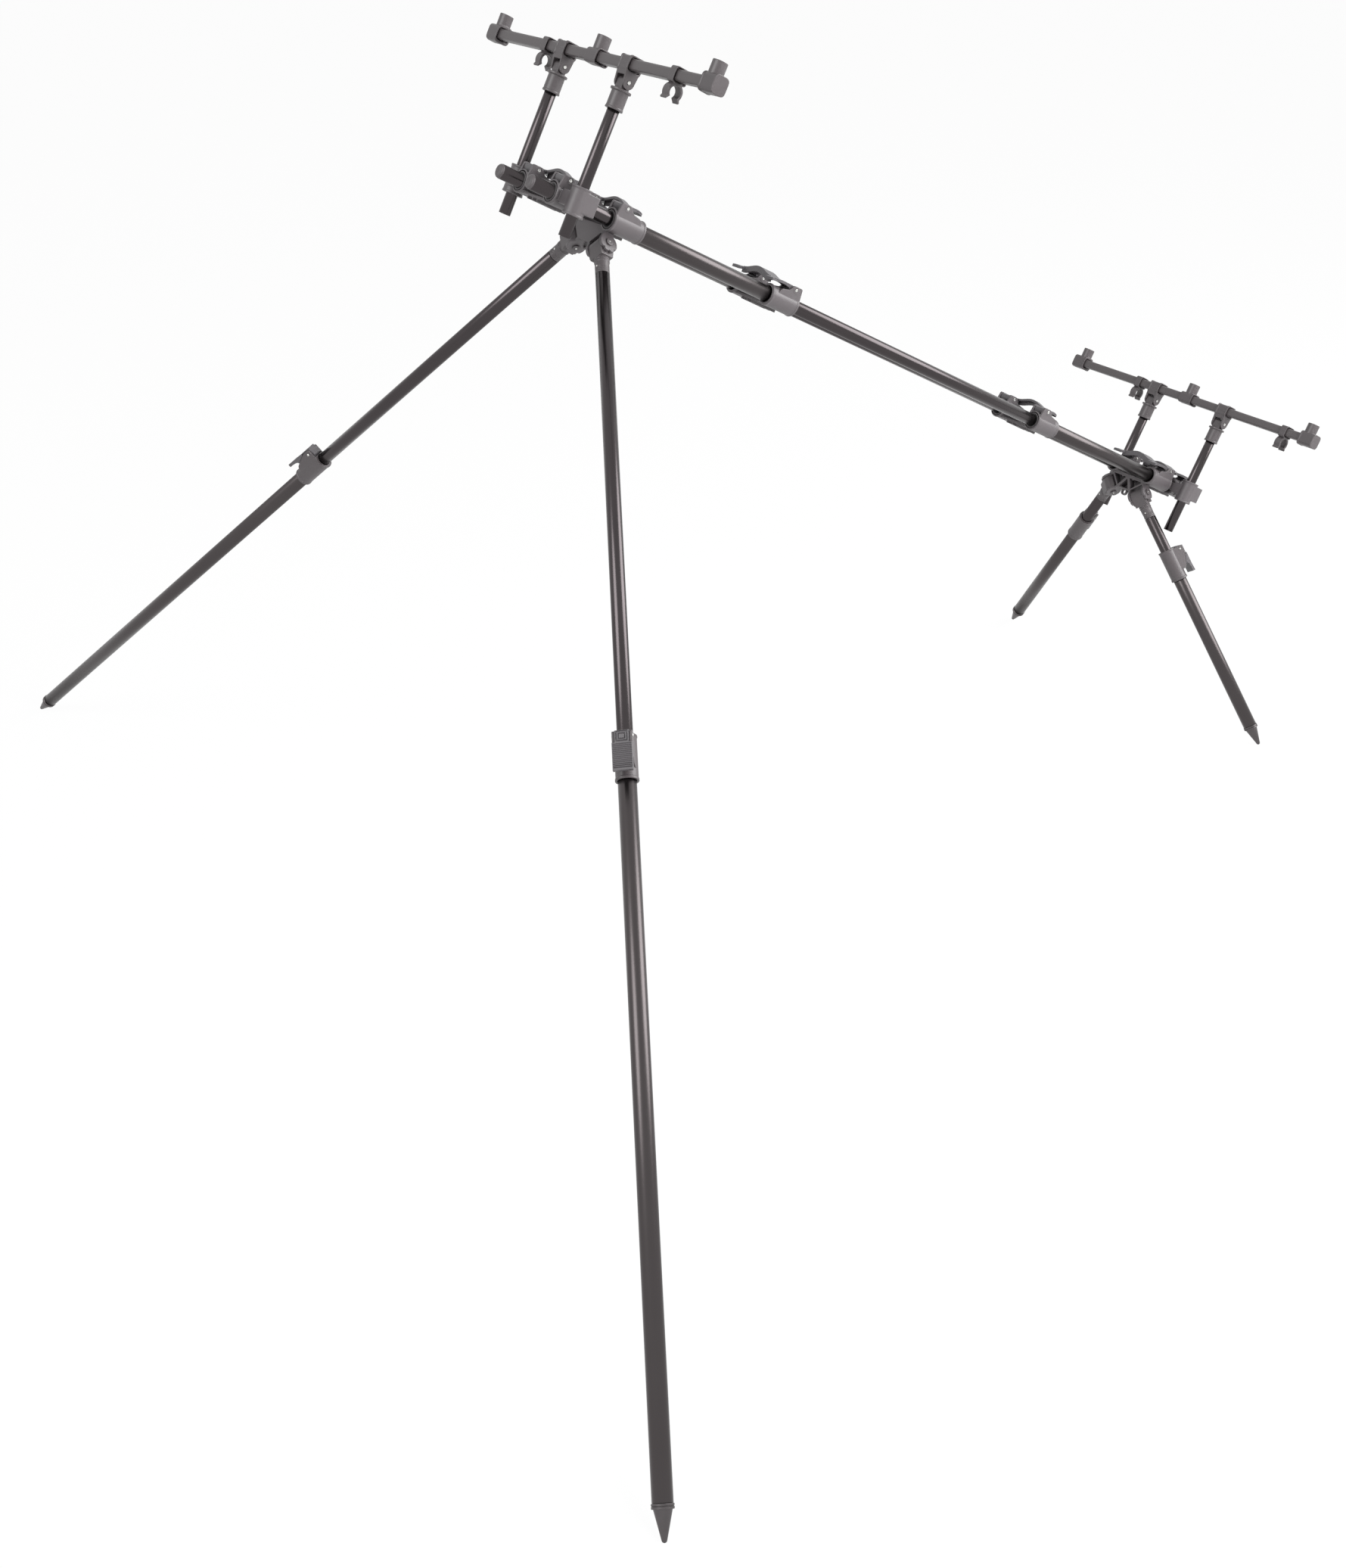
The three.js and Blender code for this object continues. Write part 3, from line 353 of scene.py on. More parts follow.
def solid(points, faces):
    """A closed shell of points and faces as an object, with shared corners merged and faces outwards."""
    mesh = bpy.data.meshes.new("solid")
    mesh.from_pydata(points, [], faces)
    shell = bmesh.new()
    shell.from_mesh(mesh)
    bmesh.ops.remove_doubles(shell, verts=shell.verts, dist=1e-4)
    bmesh.ops.recalc_face_normals(shell, faces=shell.faces)
    shell.to_mesh(mesh)
    shell.free()
    return linked("solid", mesh)


def slab(axis, outline, start, end):
    """An outline made thick along an axis. It lies in the other two axes, in their order."""
    def corner(a, b, depth):
        return {"x": (depth, a, b), "y": (a, depth, b), "z": (a, b, depth)}[axis]

    count = len(outline)
    points = [corner(a, b, start) for a, b in outline] + [corner(a, b, end) for a, b in outline]
    walls = [(i, (i + 1) % count, (i + 1) % count + count, i + count) for i in range(count)]
    return solid(points, [tuple(range(count)), tuple(range(count, 2 * count)), *walls])


def block(x0, x1, y0, y1, z0, z1):
    return slab("z", [(x0, y0), (x1, y0), (x1, y1), (x0, y1)], z0, z1)


def polar(centre, radius, degrees):
    """The point at an angle and a distance from a centre."""
    angle = math.radians(degrees)
    return centre[0] + radius * math.cos(angle), centre[1] + radius * math.sin(angle)


def arc(centre, radius, first, last, steps):
    """Points on an arc, with angles in degrees."""
    return [polar(centre, radius, first + (last - first) * i / steps) for i in range(steps + 1)]


def rod(axis, radius, start, end, centre=(0, 0), sides=ROUND):
    """A round bar along an axis; centre lies across it."""
    return slab(axis, arc(centre, radius, 0, 360, sides)[:-1], start, end)


def hole(axis, radius, reach, centre=(0, 0), middle=0):
    """A small round tool to cut with, which reaches as far to both sides of a middle."""
    return rod(axis, radius, middle - reach, middle + reach, centre, SMALL_ROUND)


def turned(profile, sides=ROUND, hollow=False):
    """A solid of revolution about z through radius and height pairs; a hollow one closes on itself."""
    count = len(profile)
    points = []
    for i in range(sides):
        angle = 2 * math.pi * i / sides
        points += [(r * math.cos(angle), r * math.sin(angle), z) for r, z in profile]
    spans = range(count if hollow else count - 1)
    faces = []
    for i in range(sides):
        a, b = i * count, (i + 1) % sides * count
        faces += [(a + j, b + j, b + (j + 1) % count, a + (j + 1) % count) for j in spans]
    return solid(points, faces)


def rounded(corners, radius):
    """A closed outline with its corners rounded, by less where a side is short."""
    points = []
    corners = [Vector(corner) for corner in corners]
    for i, corner in enumerate(corners):
        before, after = corners[i - 1], corners[(i + 1) % len(corners)]
        start = corner + (before - corner) * min(radius / (before - corner).length, 0.5)
        end = corner + (after - corner) * min(radius / (after - corner).length, 0.5)
        points += curve(start, corner, end)
    return points


def curve(start, bend, end, steps=CORNER_STEPS):
    """Points on a curve from start to end that leans towards bend."""
    start, bend, end = Vector(start), Vector(bend), Vector(end)
    shares = [i / steps for i in range(steps + 1)]
    return [tuple(start * (1 - t) ** 2 + bend * 2 * t * (1 - t) + end * t ** 2) for t in shares]


def round_box(x, y, half_x, half_y, radius):
    corners = [(half_x, half_y), (-half_x, half_y), (-half_x, -half_y), (half_x, -half_y)]
    return rounded([(x + a, y + b) for a, b in corners], radius)


def combined(body, tools, operation):
    """One solid after joining or cutting with each tool in turn."""
    for tool in tools:
        step = body.modifiers.new(operation, "BOOLEAN")
        step.operation = operation
        step.solver = "MANIFOLD"
        step.object = tool
    freeze(body)
    for tool in tools:
        bpy.data.objects.remove(tool)
    return body


def freeze(body):
    """Turns an object's modifiers into its mesh."""
    graph = bpy.context.evaluated_depsgraph_get()
    graph.update()
    mesh = bpy.data.meshes.new_from_object(body.evaluated_get(graph))
    body.modifiers.clear()
    body.data = mesh


def join(first, *others):
    return combined(first, others, "UNION")


def cut(body, *tools):
    return combined(body, tools, "DIFFERENCE")


def turn(body, matrix):
    body.data.transform(matrix)
    return body


def taken(body):
    """An object's mesh in metres and smooth; the object goes."""
    mesh = body.data
    bpy.data.objects.remove(body)
    mesh.transform(Matrix.Scale(MM, 4))
    mesh.polygons.foreach_set("use_smooth", [True] * len(mesh.polygons))
    return mesh


def finished(body, sharp=35):
    """The mesh of a turned or drawn solid, smooth except at edges sharper than an angle."""
    mesh = taken(body)
    mesh.set_sharp_from_angle(angle=math.radians(sharp))
    return mesh


def moulded(body, grain=0.6, softness=7, keep=0.2):
    """The mesh of a moulding: its edges and inside corners are rounded off."""
    skin = body.modifiers.new("skin", "REMESH")
    skin.mode = "VOXEL"
    skin.voxel_size = grain
    soft = body.modifiers.new("soft", "SMOOTH")
    soft.factor = 0.5
    soft.iterations = softness
    body.modifiers.new("fewer", "DECIMATE").ratio = keep
    freeze(body)
    return taken(body)


# Finishes

class Value:
    """A shader socket that takes part in sums."""

    def __init__(self, nodes, socket):
        self.nodes = nodes
        self.socket = socket

    def maths(self, operation, other, reflected=False):
        """A Math node on this socket and another value, which comes first where it is reflected."""
        first, second = (other, self) if reflected else (self, other)
        return self.nodes.node("ShaderNodeMath", {"operation": operation}, {0: first, 1: second})

    def __add__(self, other):
        return self.maths("ADD", other)

    def __sub__(self, other):
        return self.maths("SUBTRACT", other)

    def __rsub__(self, other):
        return self.maths("SUBTRACT", other, reflected=True)

    def __mul__(self, other):
        return self.maths("MULTIPLY", other)

    __radd__, __rmul__ = __add__, __mul__


class Nodes:
    """A shader tree whose nodes are written as expressions."""

    def __init__(self, tree):
        self.tree = tree

    def node(self, kind, settings, sockets, output=0):
        """A node of a type, with its settings made first and then its sockets fed."""
        made = self.tree.nodes.new(kind)
        for name, value in settings.items():
            if name == "stops":
                for element, (place, shade) in zip(made.color_ramp.elements, value):
                    element.position = place
                    element.color = (shade, shade, shade, 1)
            else:
                setattr(made, name, value)
        for key, value in sockets.items():
            self.feed(made.inputs[key], value)
        return Value(self, made.outputs[output])

    def feed(self, socket, value):
        if isinstance(value, Value):
            self.tree.links.new(value.socket, socket)
        else:
            socket.default_value = value

    def seen(self):
        """1 where the camera sees past the object, also in its gloss or through it, and 0 for light."""
        rays = [f"Is {ray} Ray" for ray in ("Camera", "Glossy", "Transmission")]
        camera, gloss, through = (self.node("ShaderNodeLightPath", {}, {}, ray) for ray in rays)
        return (camera + gloss + through).maths("MINIMUM", 1)


class Finish(Nodes):
    """A material, with the record's slot that its pieces belong to."""

    def __init__(self, name, slot, roughness, metallic=0.0, level=0.5):
        self.material = bpy.data.materials.new(name)
        self.slot = slot
        self.material.use_nodes = True
        super().__init__(self.material.node_tree)
        self.shader = self.tree.nodes["Principled BSDF"]
        for key, value in (("Metallic", metallic), ("Roughness", roughness), ("Specular IOR Level", level)):
            self.shader.inputs[key].default_value = value

    def speckle(self, scale, stretch=(1, 1, 1)):
        """Noise in the piece's own frame, stretched along each axis."""
        point = self.node("ShaderNodeAttribute", {"attribute_name": "own_place"}, {}, "Vector")
        place = self.node("ShaderNodeMapping", {}, {"Vector": point, "Scale": stretch})
        return self.node("ShaderNodeTexNoise", {}, {"Vector": place, "Scale": scale, "Detail": 2}, "Fac")

    def between(self, share, dark, light):
        """A mix of two colours."""
        dark, light = (end if isinstance(end, Value) else (*end, 1) for end in (dark, light))
        return self.node("ShaderNodeMix", {"data_type": "RGBA"}, {0: share, 6: dark, 7: light}, 2)

    def steps(self, value, *stops):
        return self.node("ShaderNodeValToRGB", {"stops": stops}, {"Fac": value})

    def pointed(self, *stops):
        """A mask by how far the surface stands out at a point: 0.5 is flat, less is hollow."""
        return self.steps(self.node("ShaderNodeNewGeometry", {}, {}, "Pointiness"), *stops)

    def dress(self, colour, roughness, height, distance, strength):
        """Feeds the shader with the colour, the roughness and the relief."""
        relief = {"Height": height, "Distance": distance, "Strength": strength}
        bump = self.node("ShaderNodeBump", {}, relief)
        for key, value in (("Base Color", colour), ("Roughness", roughness), ("Normal", bump)):
            self.feed(self.shader.inputs[key], value)
        return self


def anodised(name, slot, dark, light, roughness):
    """A drawn and anodised tube: satin, with very faint lines along it and a slightly cloudy dye."""
    finish = Finish(name, slot, roughness, 1.0)
    lines, cloud = finish.speckle(DRAWN_SCALE, DRAWN_STRETCH), finish.speckle(DYE_SCALE)
    colour = finish.between(cloud * 0.8 + lines * 0.2, dark, light)
    satin = roughness + (lines - 0.5) * 0.03 + (cloud - 0.5) * 0.05
    return finish.dress(colour, satin, lines, *DRAWN_RELIEF)


def nylon(name, slot, dark, light, worn, roughness, grain):
    """A glass-filled moulding: fine grain, cloudy flow marks, rubbed edges and painted shade in its hollows.
    """
    finish = Finish(name, slot, roughness, level=0.6)
    fine, cloud = finish.speckle(grain), finish.speckle(FLOW_SCALE)
    base = finish.between(cloud * 0.85 + fine * 0.15, dark, light)
    rub = finish.pointed(*EDGES) * finish.steps(finish.speckle(WEAR_SCALE), *WEAR_PATCHES)
    # Hollows and inside corners are darkened towards the near-black HOLLOW_SHADE colour: painted shade that
    # stands in for the shadow in grooves.
    colour = finish.between(finish.pointed(*HOLLOWS), HOLLOW_SHADE, finish.between(rub, base, worn))
    return finish.dress(colour, roughness + (cloud - 0.5) * 0.1 - rub * 0.08, fine, *NYLON_RELIEF)


def steel(name, colour, roughness):
    """Turned steel with fine tool marks and a slightly uneven shine."""
    finish = Finish(name, "spike", roughness, 1.0)
    marks, cloud = finish.speckle(TOOL_SCALE, TOOL_STRETCH), finish.speckle(SHINE_SCALE)
    pale = tuple(min(1, PALER * channel) for channel in colour)
    shade = finish.between(cloud, colour, pale)
    return finish.dress(shade, roughness + (marks - 0.5) * 0.2, marks, *TOOL_RELIEF)


# Noise in repeats per metre, ramp stops as place and value, relief as depth in metres and strength
DRAWN_SCALE, DRAWN_STRETCH, DRAWN_RELIEF = 400, (1, 1, 0.01), (0.000002, 0.05)
DYE_SCALE = 9
FLOW_SCALE = 24
WEAR_SCALE = 60
WEAR_PATCHES = ((0.3, 0.3), (0.7, 1))
EDGES = ((0.58, 0), (0.72, 1))
HOLLOWS = ((0.36, 0.2), (0.46, 1))
NYLON_RELIEF = (0.00001, 0.2)
TOOL_SCALE, TOOL_STRETCH, TOOL_RELIEF = 1500, (0.1, 0.1, 1), (0.00002, 0.3)
SHINE_SCALE = 90
PALER = 1.25
# HOLLOW_SHADE: the near-black colour painted into hollows as shade.
HOLLOW_SHADE = (0.008, 0.007, 0.007)
OUTER_TUBE = anodised("outer_tube_anodised", "outer_tube", (0.07, 0.062, 0.063), (0.084, 0.076, 0.077), 0.3)
INNER_TUBE = anodised("inner_tube_anodised", "inner_tube", (0.058, 0.051, 0.053), (0.072, 0.064, 0.066), 0.22)
CASTING = nylon(
    "clamp_nylon", "clamp",
    (0.064, 0.056, 0.059), (0.078, 0.07, 0.074), (0.14, 0.13, 0.136), 0.44, 1300,
)
LEVER = nylon(
    "lever_nylon", "lever",
    (0.06, 0.055, 0.059), (0.074, 0.069, 0.074), (0.15, 0.142, 0.15), 0.4, 1500,
)
FITTING = nylon(
    "fitting_nylon", "nylon",
    (0.05, 0.043, 0.045), (0.062, 0.054, 0.057), (0.11, 0.1, 0.104), 0.42, 1400,
)
BAR_COAT = nylon(
    "crossbar_coat", "outer_tube",
    (0.052, 0.045, 0.047), (0.064, 0.056, 0.058), (0.1, 0.09, 0.093), 0.4, 1600,
)
BUSH = nylon(
    "bush_rubber", "nylon",
    (0.006, 0.006, 0.006), (0.012, 0.012, 0.012), (0.02, 0.02, 0.02), 0.7, 1800,
)
PIN_STEEL = steel("pin_steel", (0.62, 0.62, 0.6), 0.25)
SPIKE_STEEL = steel("spike_steel_blacked", (0.1, 0.092, 0.094), 0.4)
BOLT_STEEL = steel("bolt_steel_blacked", (0.12, 0.115, 0.118), 0.36)


def piece(name, mesh, matrix, body, finish, node):
    """A copy of a mesh in its place, which rides on a body and stands for a CAD node.

    Each point keeps its place in the piece's own frame as an attribute, for the grain of the finish.
    """
    own = mesh.copy()
    values = [0.0] * (3 * len(own.vertices))
    own.vertices.foreach_get("co", values)
    own.attributes.new("own_place", "FLOAT_VECTOR", "POINT").data.foreach_set("vector", values)
    own.transform(matrix)
    own.materials.clear()
    own.materials.append(finish.material)
    made = linked(name, own)
    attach(made, body)
    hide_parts(node)


# Frames, in metres

def rails_frame():
    along = Vector(joints["centre_slide"]["axis"])
    up = Vector(joints["front_goalpost_height"]["axis"])
    pivot = Vector(joints["front_near_leg_fold"]["pos_m"])
    across = up.cross(along)
    origin = pivot + MM * (LEG_PIVOT_OUT * across + LEG_PIVOT_DROP * up)
    return Matrix.Translation(origin) @ Matrix((along, across, up)).transposed().to_4x4()


def shift(x=0, y=0, z=0):
    return Matrix.Translation(Vector((x, y, z)) * MM)


def spin(axis, angle):
    return Matrix.Rotation(angle, 4, axis)


RAILS = rails_frame()


def leg_basis(side):
    """The frame of a leg before it leans: z up the leg and y along its hinge pin, away from the pod."""
    up = Vector((0, -side * math.sin(SPLAY), math.cos(SPLAY)))
    pin = Vector((0, side * math.cos(SPLAY), math.sin(SPLAY)))
    return Matrix((pin.cross(up), pin, up)).transposed().to_4x4()


def leg_frame(end, side):
    place = shift(LEG_PLACES[end], side * LEG_PIVOT_OUT, -LEG_PIVOT_DROP)
    return RAILS @ place @ leg_basis(side) @ spin("Y", -side * LEG_ANGLES[end])


# Rails

def tube_mesh(radius, start, end):
    """A drawn tube along z with its four rims eased."""
    bore, lip = radius - TUBE_WALL, TUBE_LIP
    profile = [
        (bore, start + lip), (bore + lip, start), (radius - lip, start), (radius, start + lip),
        (radius, end - lip), (radius - lip, end), (bore + lip, end), (bore, end - lip),
    ]
    return finished(turned(profile, hollow=True), sharp=50)


def cap_mesh():
    """A domed end cap along z, its face at 0 and its plug below, with a small centring dimple."""
    radius, plug = INNER_RADIUS - CAP_INSET, INNER_RADIUS - TUBE_WALL - CAP_PLAY
    rim = [(radius - CAP_ROUND + x, -CAP_ROUND + z) for x, z in arc((0, 0), CAP_ROUND, 90, 0, steps=8)]
    foot, end = -CAP_LENGTH, -CAP_LENGTH - PLUG_LENGTH
    body = [(radius, foot + CAP_EASE), (radius + CAP_RIM, foot), (plug, foot), (plug, end), (0, end)]
    return finished(turned(CAP_DIMPLE + rim + body), sharp=40)


def build_rails():
    seat = SEAT_STOP + FIT
    places = {name: clamp[0] for name, clamp in CLAMPS.items()}
    runs = [
        ("front", "inner", FRONT_TIP + CAP_LENGTH, FRONT_INNER_END, "front_extension"),
        ("front", "outer", places["front_hub"] + seat, places["front_centre"] - seat, "chassis"),
        ("centre", "inner", *CENTRE_INNER, "centre_rails"),
        ("rear", "outer", places["rear_centre"] + seat, places["rear_hub"] - seat, "rear_chassis"),
        ("rear", "inner", REAR_INNER_START, REAR_TIP - CAP_LENGTH, "rear_extension"),
    ]
    cap = cap_mesh()
    for end, kind, start, stop, body in runs:
        radius, finish = (OUTER_RADIUS, OUTER_TUBE) if kind == "outer" else (INNER_RADIUS, INNER_TUBE)
        mesh = tube_mesh(radius, start, stop)
        for side, label in SIDES.items():
            node = f"{end}_{label}_{kind}_rail"
            piece(f"{node}_tube", mesh, RAILS @ shift(y=side * RAIL_HALF_SPACING) @ ALONG, body, finish, node)
            if body.endswith("extension"):
                tip = FRONT_TIP if end == "front" else REAR_TIP
                facing = RAILS @ shift(tip, side * RAIL_HALF_SPACING) @ spin("Y", ENDS[end] * math.pi / 2)
                piece(f"{node}_cap", cap, facing, body, FITTING, node)


# Clamps

def clamp_bodies():
    """Collars, cheeks and web of one clamp, still solid."""
    parts = []
    ring = COLLAR_RADIUS + MOUTH_RING_RISE
    mouth, tail = CLAMP_MOUTH - MOUTH_STEP, -CLAMP_TAIL + MOUTH_STEP
    for side in SIDES:
        rail = side * RAIL_HALF_SPACING
        centre = (rail, 0)
        parts += [
            rod("x", COLLAR_RADIUS, tail, mouth, centre),
            rod("x", COLLAR_RADIUS - MOUTH_STEP, -CLAMP_TAIL, CLAMP_MOUTH, centre),
            rod("x", ring, mouth - MOUTH_RING, mouth, centre),
            rod("x", ring, tail, tail + MOUTH_RING, centre),
        ]
        for cheek in (-1, 1):
            near = rail + cheek * (CAM_WIDTH / 2 + SLIDE_GAP)
            far = near + cheek * CHEEK_THICKNESS
            parts.append(slab("y", rounded(CHEEK_CORNERS, CHEEK_ROUND), near, far))
            boss = far + cheek * BOSS_RISE
            parts.append(rod("y", 2 * PIN_RADIUS, near, boss, (0, PIVOT_HEIGHT), SMALL_ROUND))
    bottom, rib = WEB_TOP - WEB_THICKNESS, RIB_THICKNESS / 2
    half = RAIL_HALF_SPACING - math.sqrt(COLLAR_RADIUS ** 2 - bottom ** 2)
    start, end = -CLAMP_TAIL + WEB_INSET, CLAMP_MOUTH - WEB_INSET
    parts.append(block(start, end, -half, half, bottom, WEB_TOP))
    for place in (-RIB_SPACING, 0, RIB_SPACING):
        parts.append(block(start, end, place - rib, place + rib, bottom - RIB_DEPTH, bottom + OVERRUN))
    return parts


def ring_gap():
    """The dark groove round a collar's mouth, between its rim and the ring that holds the wiper."""
    start, end = CLAMP_MOUTH - RING_GAP_DEPTH, CLAMP_MOUTH + OVERRUN
    inner, outer = RING_GAP
    return turn(turned([(inner, start), (outer, start), (outer, end), (inner, end)], hollow=True), ALONG)


def clamp_cuts(seated, tail=CLAMP_TAIL):
    """Bores, the outer tubes' seats, cam windows and pin holes."""
    tools = []
    floor, end = INNER_RADIUS - WINDOW_DEPTH, CLAMP_MOUTH + OVERRUN
    half = CAM_WIDTH / 2 + FIT
    for side in SIDES:
        rail = side * RAIL_HALF_SPACING
        centre = (rail, 0)
        tools += [
            rod("x", INNER_RADIUS + FIT, -tail - OVERRUN, end, centre),
            rod("x", BUSH_RADIUS, CLAMP_MOUTH - BUSH_LENGTH, end, centre),
            turn(ring_gap(), Matrix.Translation((0, rail, 0))),
        ]
        if seated:
            tools.append(rod("x", OUTER_RADIUS + FIT, -tail - OVERRUN, -SEAT_STOP, centre))
            tools.append(rod("x", OUTER_RADIUS + TAIL_GAP, -tail - OVERRUN, -tail + TAIL_GAP_DEPTH, centre))
        tools.append(block(-WINDOW_HALF, WINDOW_HALF, rail - half, rail + half, floor, 2 * COLLAR_RADIUS))
        reach = half + CHEEK_THICKNESS + OVERRUN
        tools.append(hole("y", PIN_RADIUS + PIN_PLAY, reach, (0, PIVOT_HEIGHT), rail))
    return tools


def bush_mesh():
    """The rubber ring in a collar's mouth that wipes the inner tube, along x."""
    bore, rim, end = INNER_RADIUS + BUSH_GAP, BUSH_RADIUS - BUSH_GAP, BUSH_LENGTH
    profile = [(bore, 0), (rim, 0), (rim, end - BUSH_EASE), (rim - BUSH_EASE, end), (bore, end)]
    return finished(turned(profile, hollow=True))


def pin_mesh(radius, half, dome=PIN_DOME, facing=ACROSS):
    """A rivet pin with eased ends and a small centre in each, along y unless it is turned elsewhere."""
    inner, outer = (radius * share for share in PIN_DENT_SHARES)
    end, dent = -half, PIN_DENT - half
    side = [(0, dent), (inner, dent), (outer, end), (radius - dome, end), (radius, end + dome)]
    profile = side + [(r, -z) for r, z in reversed(side)]
    return finished(turn(turned(profile, SMALL_ROUND), facing), sharp=40)


def triangle_pocket(corners, inset):
    """A triangle drawn in by the same amount from its three sides, with soft corners."""
    a, b, c = (Vector(corner) for corner in corners)
    la, lb, lc = (b - c).length, (c - a).length, (a - b).length
    around = la + lb + lc
    centre = (a * la + b * lb + c * lc) / around
    area = abs((b.x - a.x) * (c.y - a.y) - (c.x - a.x) * (b.y - a.y)) / 2
    shrink = 1 - inset * around / (2 * area)
    return rounded([centre + (point - centre) * shrink for point in (a, b, c)], POCKET_ROUND)


def hub_parts(place):
    """The truss below a hub clamp, with its eyelet and the pockets and hole to cut."""
    wide = HUB_BOTTOM_HALF + (HUB_BOTTOM - HUB_SHOULDER) / math.tan(SPLAY)
    top = WEB_TOP - WEB_THICKNESS
    left, right = (-HUB_BOTTOM_HALF, -HUB_BOTTOM), (HUB_BOTTOM_HALF, -HUB_BOTTOM)
    plain = [(-wide, WEB_TOP), (-wide, -HUB_SHOULDER), left, right, (wide, -HUB_SHOULDER), (wide, WEB_TOP)]
    pockets = [[(-wide, top), left, (0, top)], [(0, top), left, right], [(0, top), right, (wide, top)]]
    start, end = place - HUB_THICKNESS / 2, place + HUB_THICKNESS / 2
    outlines = [triangle_pocket(corners, HUB_RIB) for corners in pockets]
    tools = [slab("x", outline, start - OVERRUN, end - HUB_PLATE) for outline in outlines]
    half, centre = EYELET_THICKNESS / 2, (0, -EYELET_DROP)
    ring = rod("x", EYELET_RADIUS, place - half, place + half, centre, SMALL_ROUND)
    eye = hole("x", EYELET_HOLE_RADIUS, HUB_THICKNESS, centre, place)
    return [slab("x", plain, start, end), ring], tools, eye


def ear_parts(place, side):
    """Two notched ears for a leg, and the pin hole and notches to cut."""
    half = TONGUE_WIDTH / 2 + SLIDE_GAP
    far = half + EAR_THICKNESS
    out, down = LEG_PIVOT_OUT - HUB_BOTTOM_HALF, LEG_PIVOT_DROP - HUB_BOTTOM
    root = out * math.sin(SPLAY) + down * math.cos(SPLAY) + EAR_BITE
    parts, tools = [], []
    for start, end in ((-far, -half), (half, far)):
        parts.append(rod("y", EAR_RADIUS, start, end))
        parts.append(block(-HUB_THICKNESS / 2, HUB_THICKNESS / 2, start, end, 0, root))
    tools.append(hole("y", LEG_PIN_RADIUS + FIT, far + OVERRUN))
    for angle in NOTCH_ANGLES:
        tools.append(hole("y", NOTCH_RADIUS, far + OVERRUN, polar((0, 0), EAR_RADIUS, angle)))
    leg = Matrix.Translation((place, side * LEG_PIVOT_OUT, -LEG_PIVOT_DROP)) @ leg_basis(side)
    return [turn(part, leg) for part in parts], [turn(tool, leg) for tool in tools]


def hub_mesh(place):
    body = clamp_bodies()
    (truss, eyelet), pockets, eye = hub_parts(place)
    lower = cut(truss, *pockets)
    tools = clamp_cuts(True) + [eye]
    ears = []
    for side in SIDES:
        parts, holes = ear_parts(place, side)
        ears.append(cut(join(*parts), *holes))
    return moulded(cut(join(*body, lower, eyelet, *ears), *tools), grain=0.55)


def sleeve_block(side, mouth):
    """The block round one upright, with its square shoulder and flange, about the upright."""
    half = BLOCK_SLEEVE_HALF
    middle = side * (BLOCK_SLEEVE_RADIUS - BLOCK_DEPTH / 2)
    square = round_box(mouth * BLOCK_REACH / 2, middle, BLOCK_REACH / 2, BLOCK_DEPTH / 2, BLOCK_CORNER)
    flange, arm = (
        round_box(0, -side * reach / 2, FLANGE_HALF_LENGTH, reach / 2, BLOCK_CORNER)
        for reach in (UPRIGHT_OUT - FLANGE_END, UPRIGHT_OUT - RAIL_HALF_SPACING)
    )
    rim = BLOCK_SLEEVE_RADIUS + SLEEVE_RIM
    return [
        rod("z", BLOCK_SLEEVE_RADIUS, -half, half),
        rod("z", rim, half - RIM_LENGTH, half),
        rod("z", rim, -half, -half + RIM_LENGTH),
        slab("z", square, BLOCK_BOTTOM, BLOCK_TOP),
        slab("z", flange, -FLANGE_TOP, FLANGE_TOP),
        slab("z", arm, -FLANGE_HALF_HEIGHT, FLANGE_HALF_HEIGHT),
    ]


def goalpost_clamp_mesh(place, mouth):
    parts, tools = clamp_bodies(), []
    for side in SIDES:
        move = Matrix.Translation((place, side * UPRIGHT_OUT, 0))
        parts += [turn(part, move) for part in sleeve_block(side, mouth)]
        reach = BLOCK_SLEEVE_HALF + OVERRUN
        tools.append(rod("z", UPRIGHT_RADIUS + FIT, -reach, reach, (place, side * UPRIGHT_OUT)))
    tail = max(CLAMP_TAIL, FLANGE_HALF_LENGTH - place)
    return moulded(cut(join(*parts), *clamp_cuts(False, tail), *tools), grain=0.6)


def bolt_mesh():
    """A hexagon bolt head on its washer, along z and standing on 0."""
    head = slab("z", arc((0, 0), BOLT_RADIUS, 0, 360, steps=6)[:-1], BOLT_BASE, BOLT_HEAD_HEIGHT)
    shaped = combined(head, [turned(BOLT_CROWN)], "INTERSECT")
    return finished(join(shaped, rod("z", *BOLT_WASHER)), sharp=25)


# Clamp levers

def cam(centre, radius, angles, steps, lean):
    """A cam's rounded back, lower by its lift on the side that lean, a sine or cosine, points to."""
    points = []
    for i in range(steps + 1):
        angle = math.radians(angles[0] + (angles[1] - angles[0]) * i / steps)
        reach = radius - CAM_LIFT * (1 + lean(angle)) / 2
        points.append((centre[0] + reach * math.cos(angle), centre[1] + reach * math.sin(angle)))
    return points


def arm_outline(arm):
    """The cam and arm over one rail, from the side; its nose rolls over centre as it shuts."""
    points = cam((0, PIVOT_HEIGHT), CAM_RADIUS, CAM_ANGLES, steps=28, lean=math.sin)
    knee, tip = PIVOT_HEIGHT + LEVER_KNEE_RISE, PIVOT_HEIGHT + LEVER_TIP_RISE
    root, bend, reach = -arm["knee"], -arm["bow_end"], -arm["length"]
    lower = knee - LEVER_THICKNESS
    return [
        *points, (LEVER_NOSE, PIVOT_HEIGHT + LEVER_RISE),
        *curve((root, knee), (bend, knee), (reach, tip), steps=12),
        *curve((reach, tip - LEVER_THICKNESS), (bend, lower), (root, lower), steps=12),
    ]


